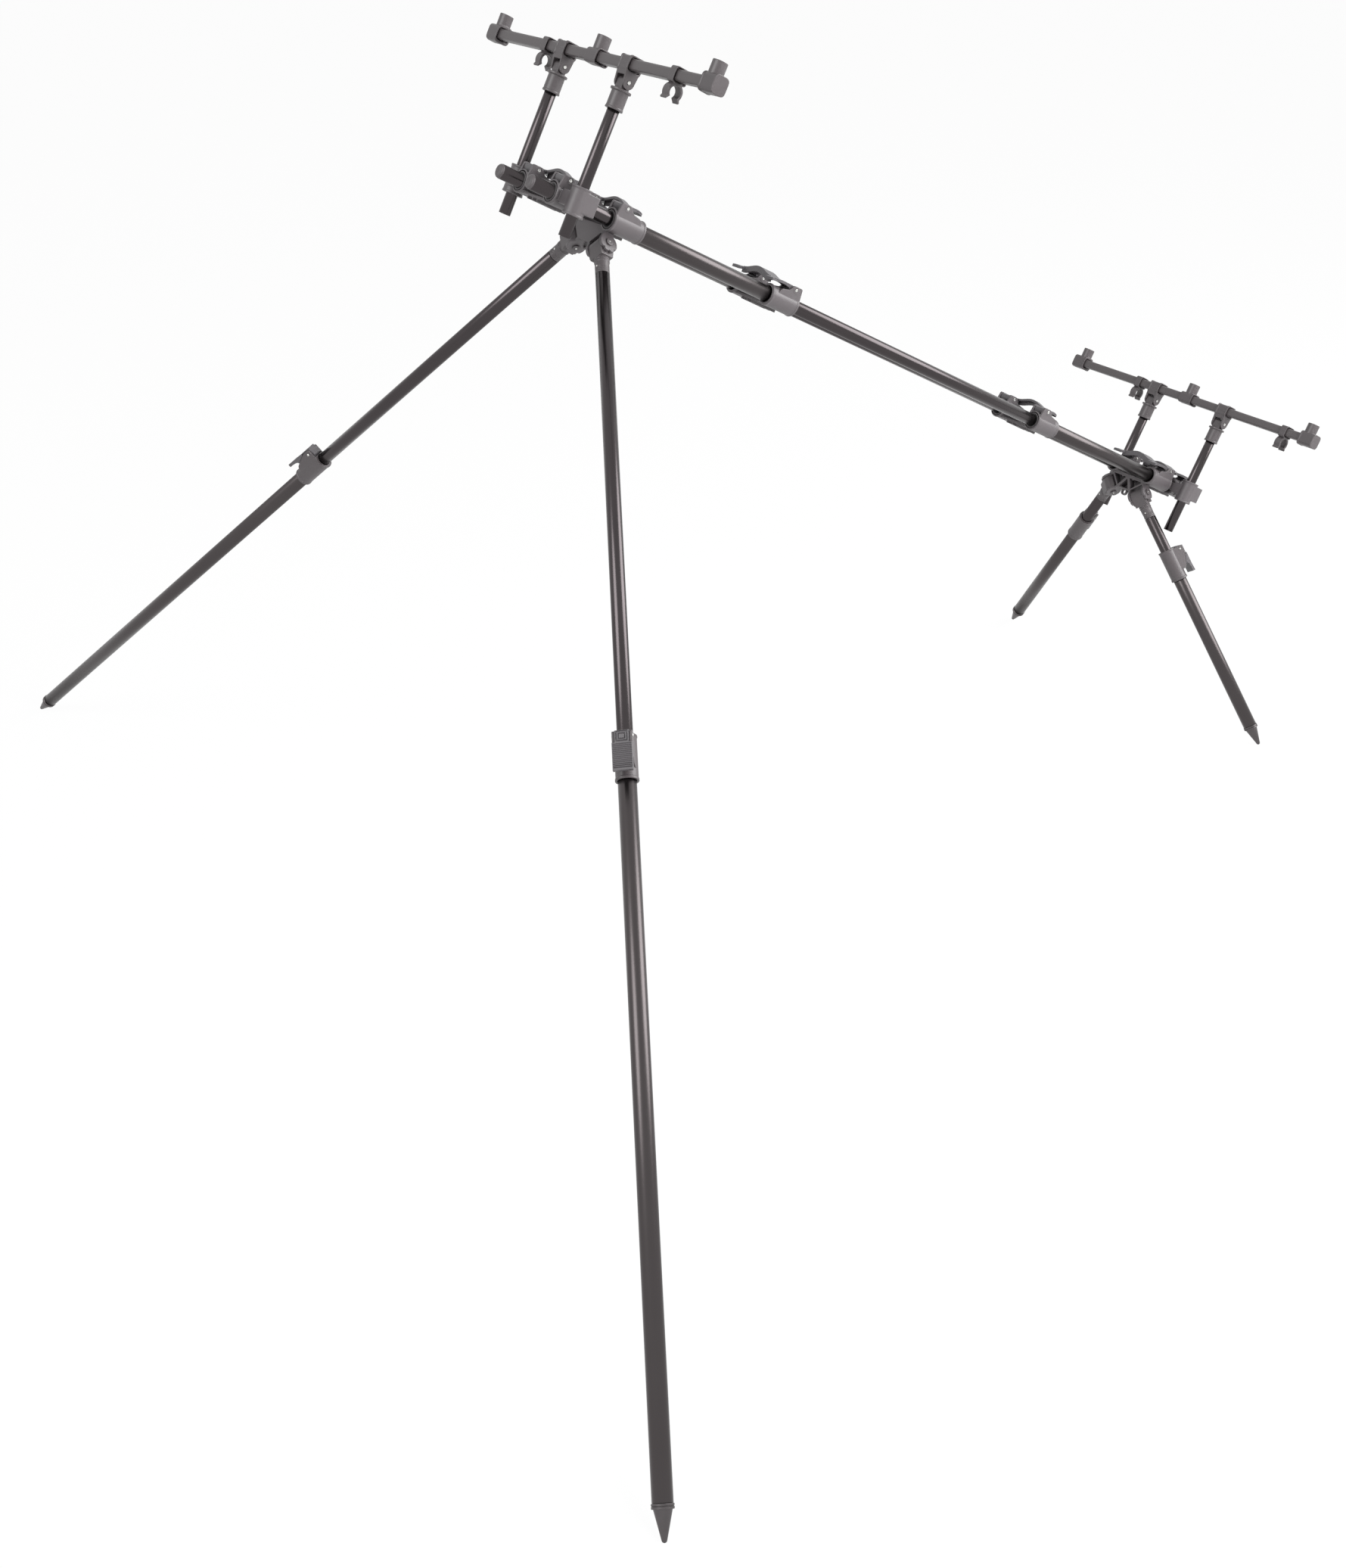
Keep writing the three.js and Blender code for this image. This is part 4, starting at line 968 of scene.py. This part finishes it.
def bow_outline(drop=0):
    """The bow between the two arms, seen along the rails; its front lip hangs lower by a drop."""
    half = RAIL_HALF_SPACING - CAM_WIDTH / 2 + BOW_BITE
    base = PIVOT_HEIGHT + LEVER_KNEE_RISE - LEVER_THICKNESS
    across = [-half + 2 * half * i / 40 for i in range(41)]
    lower = [(y, base + BOW_RISE * (1 + math.cos(math.pi * y / half)) / 2) for y in across]
    return [(y, z - drop) for y, z in lower] + [(y, z + LEVER_THICKNESS) for y, z in reversed(lower)]


def lever_mesh(arm):
    front = -arm["bow_end"]
    lip = slab("x", bow_outline(BOW_LIP_DROP), front, front + BOW_LIP)
    parts, tools = [slab("x", bow_outline(), front, -BOW_START), lip], []
    for side in SIDES:
        rail, half = side * RAIL_HALF_SPACING, CAM_WIDTH / 2
        parts.append(slab("y", arm_outline(arm), rail - half, rail + half))
        reach = half + OVERRUN
        tools.append(hole("y", PIN_RADIUS, reach, (0, PIVOT_HEIGHT), rail))
        for i in range(GRIP_COUNT):
            place = -arm["length"] + GRIP_START + GRIP_PITCH * i
            height = PIVOT_HEIGHT + LEVER_TIP_RISE + GRIP_RISE - GRIP_SLOPE * i
            tools.append(rod("y", GRIP_RADIUS, rail - reach, rail + reach, (place, height), 12))
    return moulded(cut(join(*parts), *tools), grain=0.5)


def build_clamps():
    front_post, rear_post = CLAMPS["front_goalpost"][0], CLAMPS["rear_goalpost"][0]
    meshes = {
        "front_goalpost": goalpost_clamp_mesh(-(UPRIGHT_PLACES["front"] - front_post), -1),
        "rear_goalpost": goalpost_clamp_mesh(UPRIGHT_PLACES["rear"] - rear_post, 1),
        "front_hub": hub_mesh(CLAMPS["front_hub"][0]),
        "rear_hub": hub_mesh(REAR_LEG_PLACE - CLAMPS["rear_hub"][0]),
        "front_centre": moulded(cut(join(*clamp_bodies()), *clamp_cuts(True)), grain=0.5),
    }
    meshes["rear_centre"] = meshes["front_centre"]
    levers = {1: lever_mesh(LONG_ARM), -1: lever_mesh(SHORT_ARM)}
    bush, bolt = bush_mesh(), bolt_mesh()
    pin = pin_mesh(PIN_RADIUS - PIN_SLIM, CAM_WIDTH / 2 + SLIDE_GAP + CHEEK_THICKNESS + PIN_HEAD)
    for name, (along, mouth, body) in CLAMPS.items():
        node = name if name.endswith("hub") else f"{name}_clamp"
        lever = f"{name}_lever"
        place = RAILS @ shift(along) @ spin("Z", math.pi if mouth < 0 else 0)
        piece(f"{node}_body", meshes[name], place, body, CASTING, node)
        piece(f"{lever}_body", levers[mouth], place, lever, LEVER, lever)
        for side, label in SIDES.items():
            rail = side * RAIL_HALF_SPACING
            on_pivot = place @ shift(y=rail, z=PIVOT_HEIGHT)
            piece(f"{name}_{label}_pin", pin, on_pivot, lever, PIN_STEEL, lever)
            in_mouth = place @ shift(CLAMP_MOUTH - BUSH_LENGTH, rail) @ ALONG
            piece(f"{name}_{label}_bush", bush, in_mouth, body, BUSH, node)
        if name.endswith("goalpost"):
            build_bolts(name, body, node, bolt)


def build_bolts(name, body, node, bolt):
    place = UPRIGHT_PLACES[name.split("_")[0]]
    for side, label in SIDES.items():
        for face, word, angle in ((1, "upper", 0), (-1, "lower", math.pi)):
            stand = RAILS @ shift(place, side * BOLT_OUT, face * FLANGE_TOP) @ spin("X", angle)
            piece(f"{name}_{label}_{word}_bolt", bolt, stand, body, BOLT_STEEL, node)


# Goalposts

def top_sleeve_mesh():
    """The sleeve on top of an upright, with its washer and hinge tongue, standing on 0."""
    top, half = TOP_SLEEVE_LENGTH, BAR_TONGUE_HALF
    (foot, base), (neck, crown) = ((radius, top + rise) for radius, rise in TOP_FOOT)
    shape = [(half, base), *arc((0, BAR_PIN_RISE), half, 0, 180, steps=24), (-half, base)]
    whole = join(
        rod("z", TOP_SLEEVE_RADIUS, 0, top),
        rod("z", TOP_SLEEVE_RADIUS + SLEEVE_RIM, 0, RIM_LENGTH),
        rod("z", WASHER_RADIUS, top - OVERRUN, top + WASHER_THICKNESS),
        slab("y", shape, -BAR_TONGUE_WIDTH / 2, BAR_TONGUE_WIDTH / 2),
        turned([(0, base), (foot, base), (neck, crown), (0, crown)]),
    )
    hinge = hole("y", BAR_PIN_RADIUS, BAR_TONGUE_WIDTH, (0, BAR_PIN_RISE))
    seat = rod("z", UPRIGHT_RADIUS + BAR_PLAY, -OVERRUN, TOP_SLEEVE_COVER)
    return moulded(cut(whole, hinge, seat), grain=0.45)


def bar_outline(half_width=BAR_HALF_WIDTH, half_height=BAR_HALF_HEIGHT, corner=BAR_CORNER):
    return round_box(0, 0, half_width, half_height, corner)


def bar_collar(start, end, rise=0):
    width, height = BAR_HALF_WIDTH + FITTING_WALL + rise, BAR_HALF_HEIGHT + FITTING_WALL + rise
    return slab("y", bar_outline(width, height), start, end)


def bar_hole(start, end, ends=(-1, 1)):
    """The way for the bar through a collar, with a wider mouth at each open end."""
    reach = {-1: start - OVERRUN, 1: end + OVERRUN}
    bore = bar_outline(BAR_HALF_WIDTH + BAR_PLAY, BAR_HALF_HEIGHT + BAR_PLAY)
    wide = bar_outline(BAR_HALF_WIDTH + FITTING_MOUTH_GAP, BAR_HALF_HEIGHT + FITTING_MOUTH_GAP)
    tools = [slab("y", bore, reach[-1], reach[1] if 1 in ends else end - HEAD_END_WALL)]
    for side in ends:
        inner = (start if side < 0 else end) - side * FITTING_MOUTH_DEPTH
        tools.append(slab("y", wide, *sorted((inner, reach[side]))))
    return tools


def bracket_mesh():
    """A collar on the bar with two ears over the sleeve's tongue and raised bands at its mouths."""
    half, top = BRACKET_LENGTH / 2, BRACKET_TOP_HALF
    near = BAR_TONGUE_WIDTH / 2 + SLIDE_GAP
    far = near + BRACKET_EAR_THICKNESS
    drop = BAR_RISE - BAR_TONGUE_HALF - BRACKET_WEB_GAP
    low = top + (BRACKET_EAR_HALF - top) * drop / BAR_RISE
    ear = [(top, 0), (-top, 0), *arc((0, -BAR_RISE), BRACKET_EAR_HALF, 180, 360, steps=24)]
    web = [(top, 0), (-top, 0), (-low, -drop), (low, -drop)]
    ears = [slab("y", ear, near, far), slab("y", ear, -far, -near), slab("y", web, -far, far)]
    bands = [bar_collar(*sorted((s * half, s * (half - RIM_LENGTH))), BAND_RISE) for s in SIDES]
    whole = join(bar_collar(-half, half), *ears, *bands)
    hinge = hole("y", BAR_PIN_RADIUS + PIN_PLAY, far + OVERRUN, (0, -BAR_RISE))
    return moulded(cut(whole, hinge, *bar_hole(-half, half)), grain=0.45)


def rod_head_mesh(start, end, closed):
    """A rod head about its insert's centre line: a collar on the bar with a threaded cup on top."""
    width = BAR_HALF_WIDTH + FITTING_WALL
    height = HEAD_HALF_HEIGHT if closed else BAR_HALF_HEIGHT + FITTING_WALL
    whole = join(
        slab("y", bar_outline(width, height, HEAD_CORNER), start, end),
        slab("y", bar_outline(width + BAND_RISE, height + BAND_RISE, HEAD_CORNER), start, start + RIM_LENGTH),
        rod("z", INSERT_RADIUS, 0, INSERT_RISE),
    )
    socket = rod("z", SOCKET_RADIUS + 1, INSERT_RISE - SOCKET_DEPTH, INSERT_RISE + OVERRUN, sides=SMALL_ROUND)
    return moulded(cut(whole, socket, *bar_hole(start, end, (-1,) if closed else (-1, 1))), grain=0.45)


def thread_mesh():
    """The threaded steel liner of a socket, as ridged rings along z, its top at 0."""
    foot = THREAD_FOOT - SOCKET_DEPTH
    profile = [(THREAD_WALL, foot), *THREAD_LIP]
    for i in range(int((SOCKET_DEPTH - 2) / THREAD_PITCH)):
        height = THREAD_START - THREAD_PITCH * i
        profile += [(THREAD_VALLEY, height), (THREAD_CREST, height - THREAD_PITCH / 2)]
    profile.append((THREAD_FOOT_WALL, foot))
    walls = [(SOCKET_RADIUS + out, z) for out, z in profile]
    return finished(turned(walls, SMALL_ROUND, hollow=True), sharp=25)


def clip_mesh():
    """A C-clip under a short collar, open downwards with flared lips."""
    first = (CLIP_MOUTH - 180) / 2
    last = 180 - first
    lip, tip, half = CLIP_LIP_TURN, CLIP_RADIUS + CLIP_LIP, CLIP_WIDTH / 2
    centre = (0, -CLIP_DROP)
    ring = arc(centre, CLIP_RADIUS, first + 2 * lip, last - 2 * lip, 40)
    ring += [polar(centre, tip, last - lip), polar(centre, tip, last)]
    ring += arc(centre, CLIP_BORE_RADIUS, last, first, 40)
    ring += [polar(centre, tip, first), polar(centre, tip, first + lip)]
    body = join(slab("y", ring, -half, half), bar_collar(-half, half))
    return moulded(cut(body, *bar_hole(-half, half)), grain=0.4)


def bar_mesh(start, end):
    """The bar's own tube, drawn as a rounded box with a wall."""
    shell = slab("y", bar_outline(), start, end)
    inside = bar_outline(BAR_HALF_WIDTH - BAR_WALL, BAR_HALF_HEIGHT - BAR_WALL, BAR_CORNER - BAR_WALL)
    return finished(cut(shell, slab("y", inside, start - OVERRUN, end + OVERRUN)), sharp=40)


def build_goalposts():
    sleeve, bracket, clip, thread = top_sleeve_mesh(), bracket_mesh(), clip_mesh(), thread_mesh()
    end_head = rod_head_mesh(-(HEAD_LENGTH - INSERT_FROM_END), INSERT_FROM_END, True)
    middle_head = rod_head_mesh(-HEAD_LENGTH / 2, HEAD_LENGTH / 2, False)
    far = BAR_TONGUE_WIDTH / 2 + SLIDE_GAP + BRACKET_EAR_THICKNESS + PIN_HEAD
    pin = pin_mesh(BAR_PIN_RADIUS - PIN_SLIM, far)
    inset = HEAD_END_WALL + FIT
    for end, bottom in SLEEVE_BOTTOMS.items():
        place, (low, high) = UPRIGHT_PLACES[end], BAR_ENDS[end]
        bar = RAILS @ shift(place, 0, bottom + BAR_PIN_RISE + BAR_RISE)
        middle = (low + high) / 2
        body, node = f"{end}_bar", f"{end}_crossbar"
        piece(f"{node}_tube", bar_mesh(low + inset, high - inset), bar, body, BAR_COAT, node)
        piece(f"{end}_middle_head", middle_head, bar @ shift(y=middle), body, FITTING, node)
        piece(f"{end}_middle_thread", thread, bar @ shift(y=middle, z=INSERT_RISE), body, BOLT_STEEL, node)
        post = tube_mesh(UPRIGHT_RADIUS, UPRIGHT_BOTTOMS[end], bottom + TOP_SLEEVE_COVER - UPRIGHT_TOP_GAP)
        for side, label in SIDES.items():
            foot = RAILS @ shift(place, side * UPRIGHT_OUT)
            top = foot @ shift(z=bottom)
            socket = bar @ shift(y=(low if side < 0 else high) - side * INSERT_FROM_END)
            outward = socket @ spin("Z", 0 if side > 0 else math.pi)
            rows = [
                ("upright", "tube", post, foot, "goalpost", INNER_TUBE),
                ("upright", "sleeve", sleeve, top, "goalpost", FITTING),
                ("upright", "pin", pin, top @ shift(z=BAR_PIN_RISE), "goalpost", PIN_STEEL),
                ("", "bracket", bracket, bar @ shift(y=side * UPRIGHT_OUT), "bar", FITTING),
                ("bar_clip", "body", clip, bar @ shift(y=CLIP_PLACES[end][side]), "bar", FITTING),
                ("rod_head", "body", end_head, outward, "bar", FITTING),
                ("rod_head", "thread", thread, socket @ shift(z=INSERT_RISE), "bar", BOLT_STEEL),
            ]
            for word, kind, mesh, stand, rides, finish in rows:
                own = f"{end}_{label}_{word}" if word else node
                name = f"{own}_{kind}" if word else f"{end}_{label}_{kind}"
                piece(name, mesh, stand, f"{end}_{rides}", finish, own)


# Legs

def knuckle_mesh():
    """The hinge tongue and grooved sleeve at the top of a leg, with its pin at 0."""
    radius, foot, bottom = KNUCKLE_RADIUS, -NECK_LENGTH, -SLEEVE_END
    shape = [(radius, foot), *arc((0, 0), TONGUE_RADIUS, 0, 180, steps=36), (-radius, foot)]
    tongue = slab("y", shape, -TONGUE_WIDTH / 2, TONGUE_WIDTH / 2)
    top = foot + OVERRUN
    side = [(radius, top)]
    for place in RING_PLACES + GROOVE_PLACES:
        rise, half = (RING_RISE, RING_HALF) if place in RING_PLACES else (-GROOVE_DEPTH, GROOVE_HALF)
        inner = half - GROOVE_EASE
        edges = [(0, half), (rise, inner), (rise, -inner), (0, -half)]
        side += [(radius + out, z - place) for out, z in edges]
    side += [(radius, bottom + SLEEVE_EASE), (radius - SLEEVE_EASE, bottom)]
    sleeve = turned([(0, top), *side, (0, bottom)])
    neck = turned([(0, -NECK_START), (NECK_RADIUS, -NECK_START), (radius, foot - 1), (0, foot - 1)])
    half = TONGUE_WIDTH / 2 + SLIDE_GAP + EAR_THICKNESS + FIT
    end = half + LEG_PIN_HEAD_HEIGHT
    heads = [rod("y", LEG_PIN_HEAD_RADIUS, *sorted((s * half, s * end))) for s in SIDES]
    pin = rod("y", LEG_PIN_RADIUS, -half - LEG_PIN_RISE, half + LEG_PIN_RISE)
    sockets = hole("y", RIVET_HOLE_RADIUS, end + OVERRUN)
    cross = hole("x", RIVET_HOLE_RADIUS, 2 * radius, (0, -CROSS_RIVET_DOWN))
    return moulded(cut(join(tongue, neck, sleeve, pin, *heads), sockets, cross), grain=0.4)


def spike_mesh():
    """The ground spike: a turned cone with a grooved band, its tip at 0."""
    tip = [(SPIKE_TIP_RADIUS * x, SPIKE_TIP_RADIUS * (1 + z)) for x, z in arc((0, 0), 1, -90, -15, steps=10)]
    radius, top, foot = BAND_RADIUS, SPIKE_LENGTH, SPIKE_LENGTH - BAND_HEIGHT
    plug, end = OUTER_RADIUS - TUBE_WALL - FIT, SPIKE_LENGTH + PLUG_LENGTH
    groove = [(radius - depth, foot + rise) for rise, depth in BAND_GROOVE]
    band = [(radius - BAND_EASE, foot), (radius, foot + BAND_EASE), *groove]
    crown = [(radius, top - BAND_TOP_EASE), (radius - BAND_TOP_EASE, top), (plug, top), (plug, end), (0, end)]
    return finished(turned([(0, 0), *tip[1:], (CONE_RADIUS, foot), *band, *crown]), sharp=30)


def lock_housing_mesh():
    """The leg lock's collar and cheeks, mouth at 0 and lever towards +y."""
    corners = [
        (0, -LOCK_EAR_TOP), (LOCK_EAR_OUT, -LOCK_EAR_TOP), (LOCK_EAR_OUT, -LOCK_EAR_BOTTOM),
        (LOCK_HEEL_OUT, -LOCK_HEEL_DOWN), (0, -LOCK_FOOT_DOWN),
    ]
    half, slot = LOCK_WIDTH / 2, LOCK_SLOT / 2
    pivot = (LOCK_PIVOT_OUT, -LOCK_PIVOT_DOWN)
    ring, end = LOCK_RADIUS + BAND_RISE, -LOCK_LENGTH
    whole = join(
        rod("z", LOCK_RADIUS, end, 0),
        rod("z", ring, -RIM_LENGTH, 0),
        rod("z", ring, end, end + LOCK_TAIL_RIM),
        slab("x", rounded(corners, LOCK_CORNER), -half, half),
    )
    return moulded(cut(
        whole,
        block(-slot, slot, LOCK_FLOOR, LOCK_EAR_OUT + OVERRUN, -LOCK_FOOT_DOWN, OVERRUN),
        rod("x", LOCK_CAM_RADIUS + LOCK_WINDOW, -slot, slot, pivot),
        hole("x", LOCK_PIN_RADIUS + PIN_PLAY, half + OVERRUN, pivot),
        rod("z", INNER_RADIUS + FIT, end - OVERRUN, OVERRUN),
        rod("z", OUTER_RADIUS + FIT, end - OVERRUN, -LOCK_SEAT),
    ), grain=0.45)


def cheek_out(below):
    """How far out the sloping edge of the lock's cheeks lies, at a distance below the lever's pivot."""
    slope = (LOCK_HEEL_OUT - LOCK_EAR_OUT) / (LOCK_HEEL_DOWN - LOCK_EAR_BOTTOM)
    return LOCK_EAR_OUT + slope * (LOCK_PIVOT_DOWN + below - LOCK_EAR_BOTTOM)


def lock_lever_mesh():
    """The leg lock's lever: a cam between the cheeks, and a ribbed grip as wide as the housing."""
    out, down = pivot = LOCK_PIVOT_OUT, -LOCK_PIVOT_DOWN
    half, grip_half = LOCK_SLOT / 2 - SLIDE_GAP, LOCK_WIDTH / 2
    face, waist = out + LOCK_FACE, out + LOCK_WAIST_DEPTH
    tip = face + LOCK_TIP_FLARE
    under, end, bend = tip - LOCK_TIP_THICKNESS, down - LOCK_LEVER_END, down - LOCK_FACE_END
    top, heel = down - LOCK_GRIP_TOP, down - LOCK_GRIP_HEEL
    shape = [
        (face, down + LOCK_FACE_TOP), *cam(pivot, LOCK_CAM_RADIUS, LOCK_CAM_ANGLES, steps=24, lean=math.cos),
        *curve((waist, down - LOCK_WAIST), (waist, bend), (under, end), steps=16), (tip, end), (face, bend),
    ]
    grip = [
        (face, bend), (face, top), (cheek_out(LOCK_GRIP_TOP) + SLIDE_GAP, top),
        *curve((cheek_out(LOCK_GRIP_HEEL) + SLIDE_GAP, heel), (under, heel), (under, end), steps=16),
        (tip, end),
    ]
    tools = [hole("x", LOCK_PIN_RADIUS, half + OVERRUN, pivot)]
    rims = [round_box(0, down - LOCK_FRAME_DOWN, x, z, LOCK_FRAME_CORNER) for x, z in LOCK_FRAME_HALVES]
    for outer, inner in (rims[:2], rims[2:]):
        groove = slab("y", outer, face - LOCK_FRAME_DEPTH, face + OVERRUN)
        tools.append(cut(groove, slab("y", inner, face - 2 * LOCK_FRAME_DEPTH, face + 2 * OVERRUN)))
    wide = grip_half - LOCK_RIB_INSET
    for i in range(LOCK_RIB_COUNT):
        place = down - LOCK_RIB_START - LOCK_RIB_PITCH * i
        low, high = place - LOCK_RIB_GAP / 2, place + LOCK_RIB_GAP / 2
        tools.append(block(-wide, wide, face - LOCK_RIB_DEPTH, face + OVERRUN, low, high))
    whole = join(slab("x", shape, -half, half), slab("x", grip, -grip_half, grip_half))
    return moulded(cut(whole, *tools), grain=0.4, softness=2, keep=0.4)


def build_legs():
    knuckle, spike = knuckle_mesh(), spike_mesh()
    housing, lever = lock_housing_mesh(), lock_lever_mesh()
    lock_pin = pin_mesh(LOCK_PIN_RADIUS - PIN_SLIM, LOCK_WIDTH / 2 + PIN_HEAD, facing=SIDEWAYS)
    half = TONGUE_WIDTH / 2 + SLIDE_GAP + EAR_THICKNESS + FIT + LEG_PIN_HEAD_HEIGHT
    leg_pin = pin_mesh(RIVET_RADIUS, half + RIVET_DOME, RIVET_DOME)
    cross_pin = pin_mesh(RIVET_RADIUS, KNUCKLE_RADIUS - RIVET_SINK, RIVET_DOME, SIDEWAYS)
    for end, length in LEG_LENGTHS.items():
        for side, label in SIDES.items():
            name = f"{end}_{label}"
            mouth = LOCK_MOUTHS[name]
            leg = leg_frame(end, side)
            seat = mouth + LOCK_SEAT
            upper = tube_mesh(INNER_RADIUS, -seat - UPPER_OVERLAPS[end], -SLEEVE_END - FIT)
            lower = tube_mesh(OUTER_RADIUS, SPIKE_LENGTH - length + FIT, -seat - FIT)
            lock = leg @ shift(z=-mouth) @ spin("Z", -ENDS[end] * side * LOCK_TURN)
            pivot = lock @ shift(y=LOCK_PIVOT_OUT, z=-LOCK_PIVOT_DOWN)
            rows = [
                ("knuckle", "body", knuckle, leg, "leg", FITTING),
                ("knuckle", "pin", leg_pin, leg, "leg", PIN_STEEL),
                ("knuckle", "cross_pin", cross_pin, leg @ shift(z=-CROSS_RIVET_DOWN), "leg", PIN_STEEL),
                ("upper_tube", "drawn", upper, leg, "leg", INNER_TUBE),
                ("lower_tube", "drawn", lower, leg, "leg_extension", OUTER_TUBE),
                ("spike", "turned", spike, leg @ shift(z=-length), "leg_extension", SPIKE_STEEL),
                ("lock_housing", "body", housing, lock, "leg_extension", FITTING),
                ("lock_lever", "body", lever, lock, "lock", LEVER),
                ("lock_lever", "pin", lock_pin, pivot, "lock", PIN_STEEL),
            ]
            for word, kind, mesh, place, body, finish in rows:
                node = f"{name}_{word}"
                piece(f"{node}_{kind}", mesh, place, f"{name}_{body}", finish, node)


# Stage, lights and camera

FOCAL_PIXELS = 2361.1
PHOTO_SIZE = (1779, 2072)
AXIS_PIXEL = (901.1, 1004.0)
CAMERA_PLACE = (-1659.5, -2579.0, -136.0)
CAMERA_RIGHT = Vector((0.74026, -0.54978, 0.38698))
CAMERA_BACK = Vector((-0.65114, -0.72960, 0.20904))
SENSOR = 36
CLIP_END = 100
FLOOR_HALF = 30
FLOOR_COLOUR = (0.8, 0.8, 0.8, 1)
FLOOR_GLOW = 0.95
WHITE = (1, 1, 1, 1)
SOFT_LIGHT = 0.5
LAMP_TARGET = Vector((0, 0, 0.8))
LAMPS = {
    "near": ((0.6, -5.0, 2.4), 3.0, 340, False),
    "right": ((3.4, -1.9, 2.7), 3.6, 200, True),
    "left": ((-4.0, -0.05, 4.4), 3.2, 130, True),
}


def build_camera():
    """The photograph's camera: its place and turn were found in the rails' frame."""
    data = bpy.data.cameras.new("camera")
    camera = linked("camera", data)
    up = CAMERA_BACK.cross(CAMERA_RIGHT)
    turn_to = Matrix((CAMERA_RIGHT, up, CAMERA_BACK)).transposed().to_4x4()
    camera.matrix_world = RAILS @ shift(*CAMERA_PLACE) @ turn_to
    data.sensor_fit = "VERTICAL"
    data.sensor_height = SENSOR
    width, height = PHOTO_SIZE
    data.lens = SENSOR * FOCAL_PIXELS / height
    data.shift_x = (width / 2 - AXIS_PIXEL[0]) / height
    data.shift_y = (AXIS_PIXEL[1] - height / 2) / height
    data.clip_end = CLIP_END
    bpy.context.scene.camera = camera


def build_floor():
    """A pale floor that shows as near white, while the light on it stays that of the lamps."""
    mesh = bpy.data.meshes.new("floor")
    corners = [(x * FLOOR_HALF, y * FLOOR_HALF, 0) for x, y in ((-1, -1), (1, -1), (1, 1), (-1, 1))]
    mesh.from_pydata(corners, [], [(0, 1, 2, 3)])
    finish = Finish("floor_pale", None, roughness=0.9, level=0.1)
    finish.feed(finish.shader.inputs["Base Color"], FLOOR_COLOUR)
    plain = Value(finish, finish.shader.outputs[0])
    glow = finish.node("ShaderNodeEmission", {}, {})
    mix = finish.node("ShaderNodeMixShader", {}, {0: finish.seen() * FLOOR_GLOW, 1: plain, 2: glow})
    finish.feed(finish.tree.nodes["Material Output"].inputs["Surface"], mix)
    mesh.materials.append(finish.material)
    linked("floor", mesh)


def build_world():
    """Soft even light on the object, and plain white where the camera, metal or glass sees past it."""
    world = bpy.data.worlds.new("studio")
    world.use_nodes = True
    bpy.context.scene.world = world
    nodes = Nodes(world.node_tree)
    nodes.tree.nodes.remove(nodes.tree.nodes["Background"])
    soft, white = (
        nodes.node("ShaderNodeBackground", {}, {"Color": WHITE, "Strength": strength})
        for strength in (SOFT_LIGHT, 1)
    )
    mix = nodes.node("ShaderNodeMixShader", {}, {0: nodes.seen(), 1: soft, 2: white})
    nodes.feed(nodes.tree.nodes["World Output"].inputs["Surface"], mix)


def build_lamps():
    """Round soft boxes; one that isn't mirrored lights the object without showing in its gloss."""
    for name, (place, size, power, mirrored) in LAMPS.items():
        data = bpy.data.lights.new(name, "AREA")
        data.shape = "DISK"
        data.size = size
        data.energy = power
        lamp = linked(name, data)
        lamp.visible_glossy = mirrored
        aim = LAMP_TARGET - Vector(place)
        lamp.matrix_world = Matrix.Translation(place) @ aim.to_track_quat("-Z", "Y").to_matrix().to_4x4()


build_rails()
build_clamps()
build_goalposts()
build_legs()
build_camera()
build_floor()
build_world()
build_lamps()
bpy.context.scene.view_settings.view_transform = "Standard"
